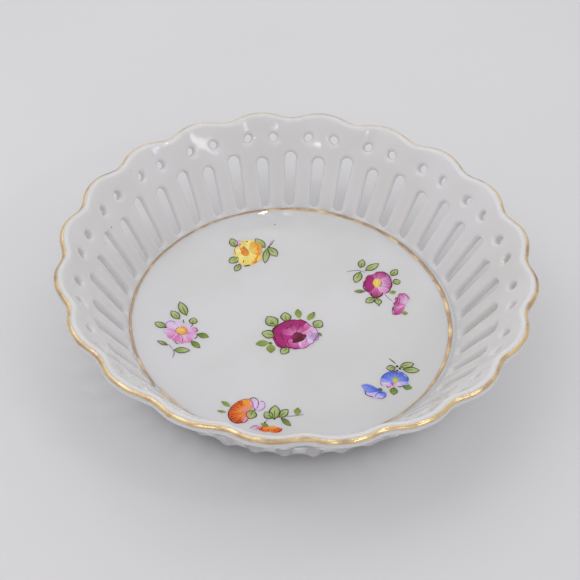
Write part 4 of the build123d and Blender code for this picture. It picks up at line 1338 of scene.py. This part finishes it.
class RINGDISH_OT_stage(bpy.types.Operator):
    """Sets the table, the lamps and the camera"""
    bl_idname = "ringdish.stage"
    bl_label = "Stage"

    def execute(self, context):
        look = context.scene.ring_dish.stage
        self.table(look)
        self.room(context.scene, look)
        for name, heading, height, distance, size, power, share in LAMPS:
            self.lamp(name, math.radians(heading), math.radians(height), distance, size,
                      getattr(look, power) * share)
        self.camera(context.scene, look)
        context.scene.view_settings.view_transform = "Standard"
        return {"FINISHED"}

    def table(self, look):
        """Plain pale table top."""
        half = look.table_size / 2
        mesh = bpy.data.meshes.new("table")
        corners = [(x, y, TABLE_HEIGHT) for x, y in ((-half, -half), (half, -half), (half, half), (-half, half))]
        mesh.from_pydata(corners, [], [(0, 1, 2, 3)])
        material, tree, shader = new_material("table_top", TABLE_ROUGHNESS)
        shaded = tuple(part * TABLE_SHADE for part in look.table)
        tone = ramp(tree, noise(tree, *CLOUD), *CLOUD_RANGE, shaded, look.table)
        tree.links.new(tone, shader.inputs["Base Color"])
        mesh.materials.append(material)
        table = bpy.data.objects.new("table", mesh)
        bpy.context.scene.collection.objects.link(table)

    def room(self, scene, look):
        """Even light from the room."""
        world = bpy.data.worlds.new("room")
        world.use_nodes = True
        background = world.node_tree.nodes["Background"]
        background.inputs["Color"].default_value = ROOM_COLOUR
        background.inputs["Strength"].default_value = look.sky_light
        scene.world = world

    def lamp(self, name, heading, height, distance, size, power):
        """Soft lamp that points at the dish."""
        data = bpy.data.lights.new(name, "AREA")
        data.shape = "RECTANGLE"
        data.size, data.size_y = size
        data.energy = power
        lamp = bpy.data.objects.new(name, data)
        away = Vector((math.cos(height) * math.cos(heading), math.cos(height) * math.sin(heading),
                       math.sin(height)))
        lamp.location = Vector((0, 0, FOOT_HIGH.z)) + away * distance
        lamp.rotation_euler = away.to_track_quat("Z", "Y").to_euler()
        bpy.context.scene.collection.objects.link(lamp)

    def camera(self, scene, look):
        """Camera that looks down into the dish from its near side."""
        heading, dip, roll = look.camera_heading, look.camera_dip, look.camera_roll
        ahead = Vector((math.cos(dip) * math.cos(heading), math.cos(dip) * math.sin(heading), -math.sin(dip)))
        level = Vector((math.sin(heading), -math.cos(heading), 0))
        above = level.cross(ahead)
        right = level * math.cos(roll) + above * math.sin(roll)
        up = above * math.cos(roll) - level * math.sin(roll)
        data = bpy.data.cameras.new("camera")
        data.sensor_width = SENSOR_WIDTH
        data.lens = look.camera_lens
        data.clip_start = NEAREST_VIEW
        camera = bpy.data.objects.new("camera", data)
        turn = Matrix((right, up, -ahead)).transposed().to_4x4()
        camera.matrix_world = Matrix.Translation(Vector(look.camera_place)) @ turn
        scene.collection.objects.link(camera)
        scene.camera = camera


OPERATORS = (RINGDISH_OT_wall, RINGDISH_OT_floor, RINGDISH_OT_foot, RINGDISH_OT_gilding, RINGDISH_OT_rose,
             RINGDISH_OT_yellow_rose, RINGDISH_OT_purple_flower, RINGDISH_OT_daisy, RINGDISH_OT_blue_flower,
             RINGDISH_OT_orange_flower, RINGDISH_OT_stage)


class RINGDISH_PT_panel(bpy.types.Panel):
    """Panel with the operators and settings of the ring dish"""
    bl_idname = "RINGDISH_PT_panel"
    bl_label = "Ring dish"
    bl_space_type = "VIEW_3D"
    bl_region_type = "UI"
    bl_category = "Ring dish"

    def draw(self, context):
        for operator in OPERATORS:
            self.layout.operator(operator.bl_idname)
        for group, kind in GROUPS.items():
            box = self.layout.box()
            box.label(text=group.capitalize())
            for name in kind.__annotations__:
                box.prop(getattr(context.scene.ring_dish, group), name)


CLASSES = (*GROUPS.values(), RingDishSettings, *OPERATORS, RINGDISH_PT_panel)


def register():
    """Adds the dish's classes and settings to Blender."""
    for kind in CLASSES:
        bpy.utils.register_class(kind)
    bpy.types.Scene.ring_dish = PointerProperty(type=RingDishSettings)


def unregister():
    """Takes the dish's classes and settings out of Blender."""
    del bpy.types.Scene.ring_dish
    for kind in reversed(CLASSES):
        bpy.utils.unregister_class(kind)


def main():
    """Builds the dish and its stage."""
    register()
    for operator in OPERATORS:
        group, name = operator.bl_idname.split(".")
        getattr(getattr(bpy.ops, group), name)()


if __name__ == "__main__":
    main()
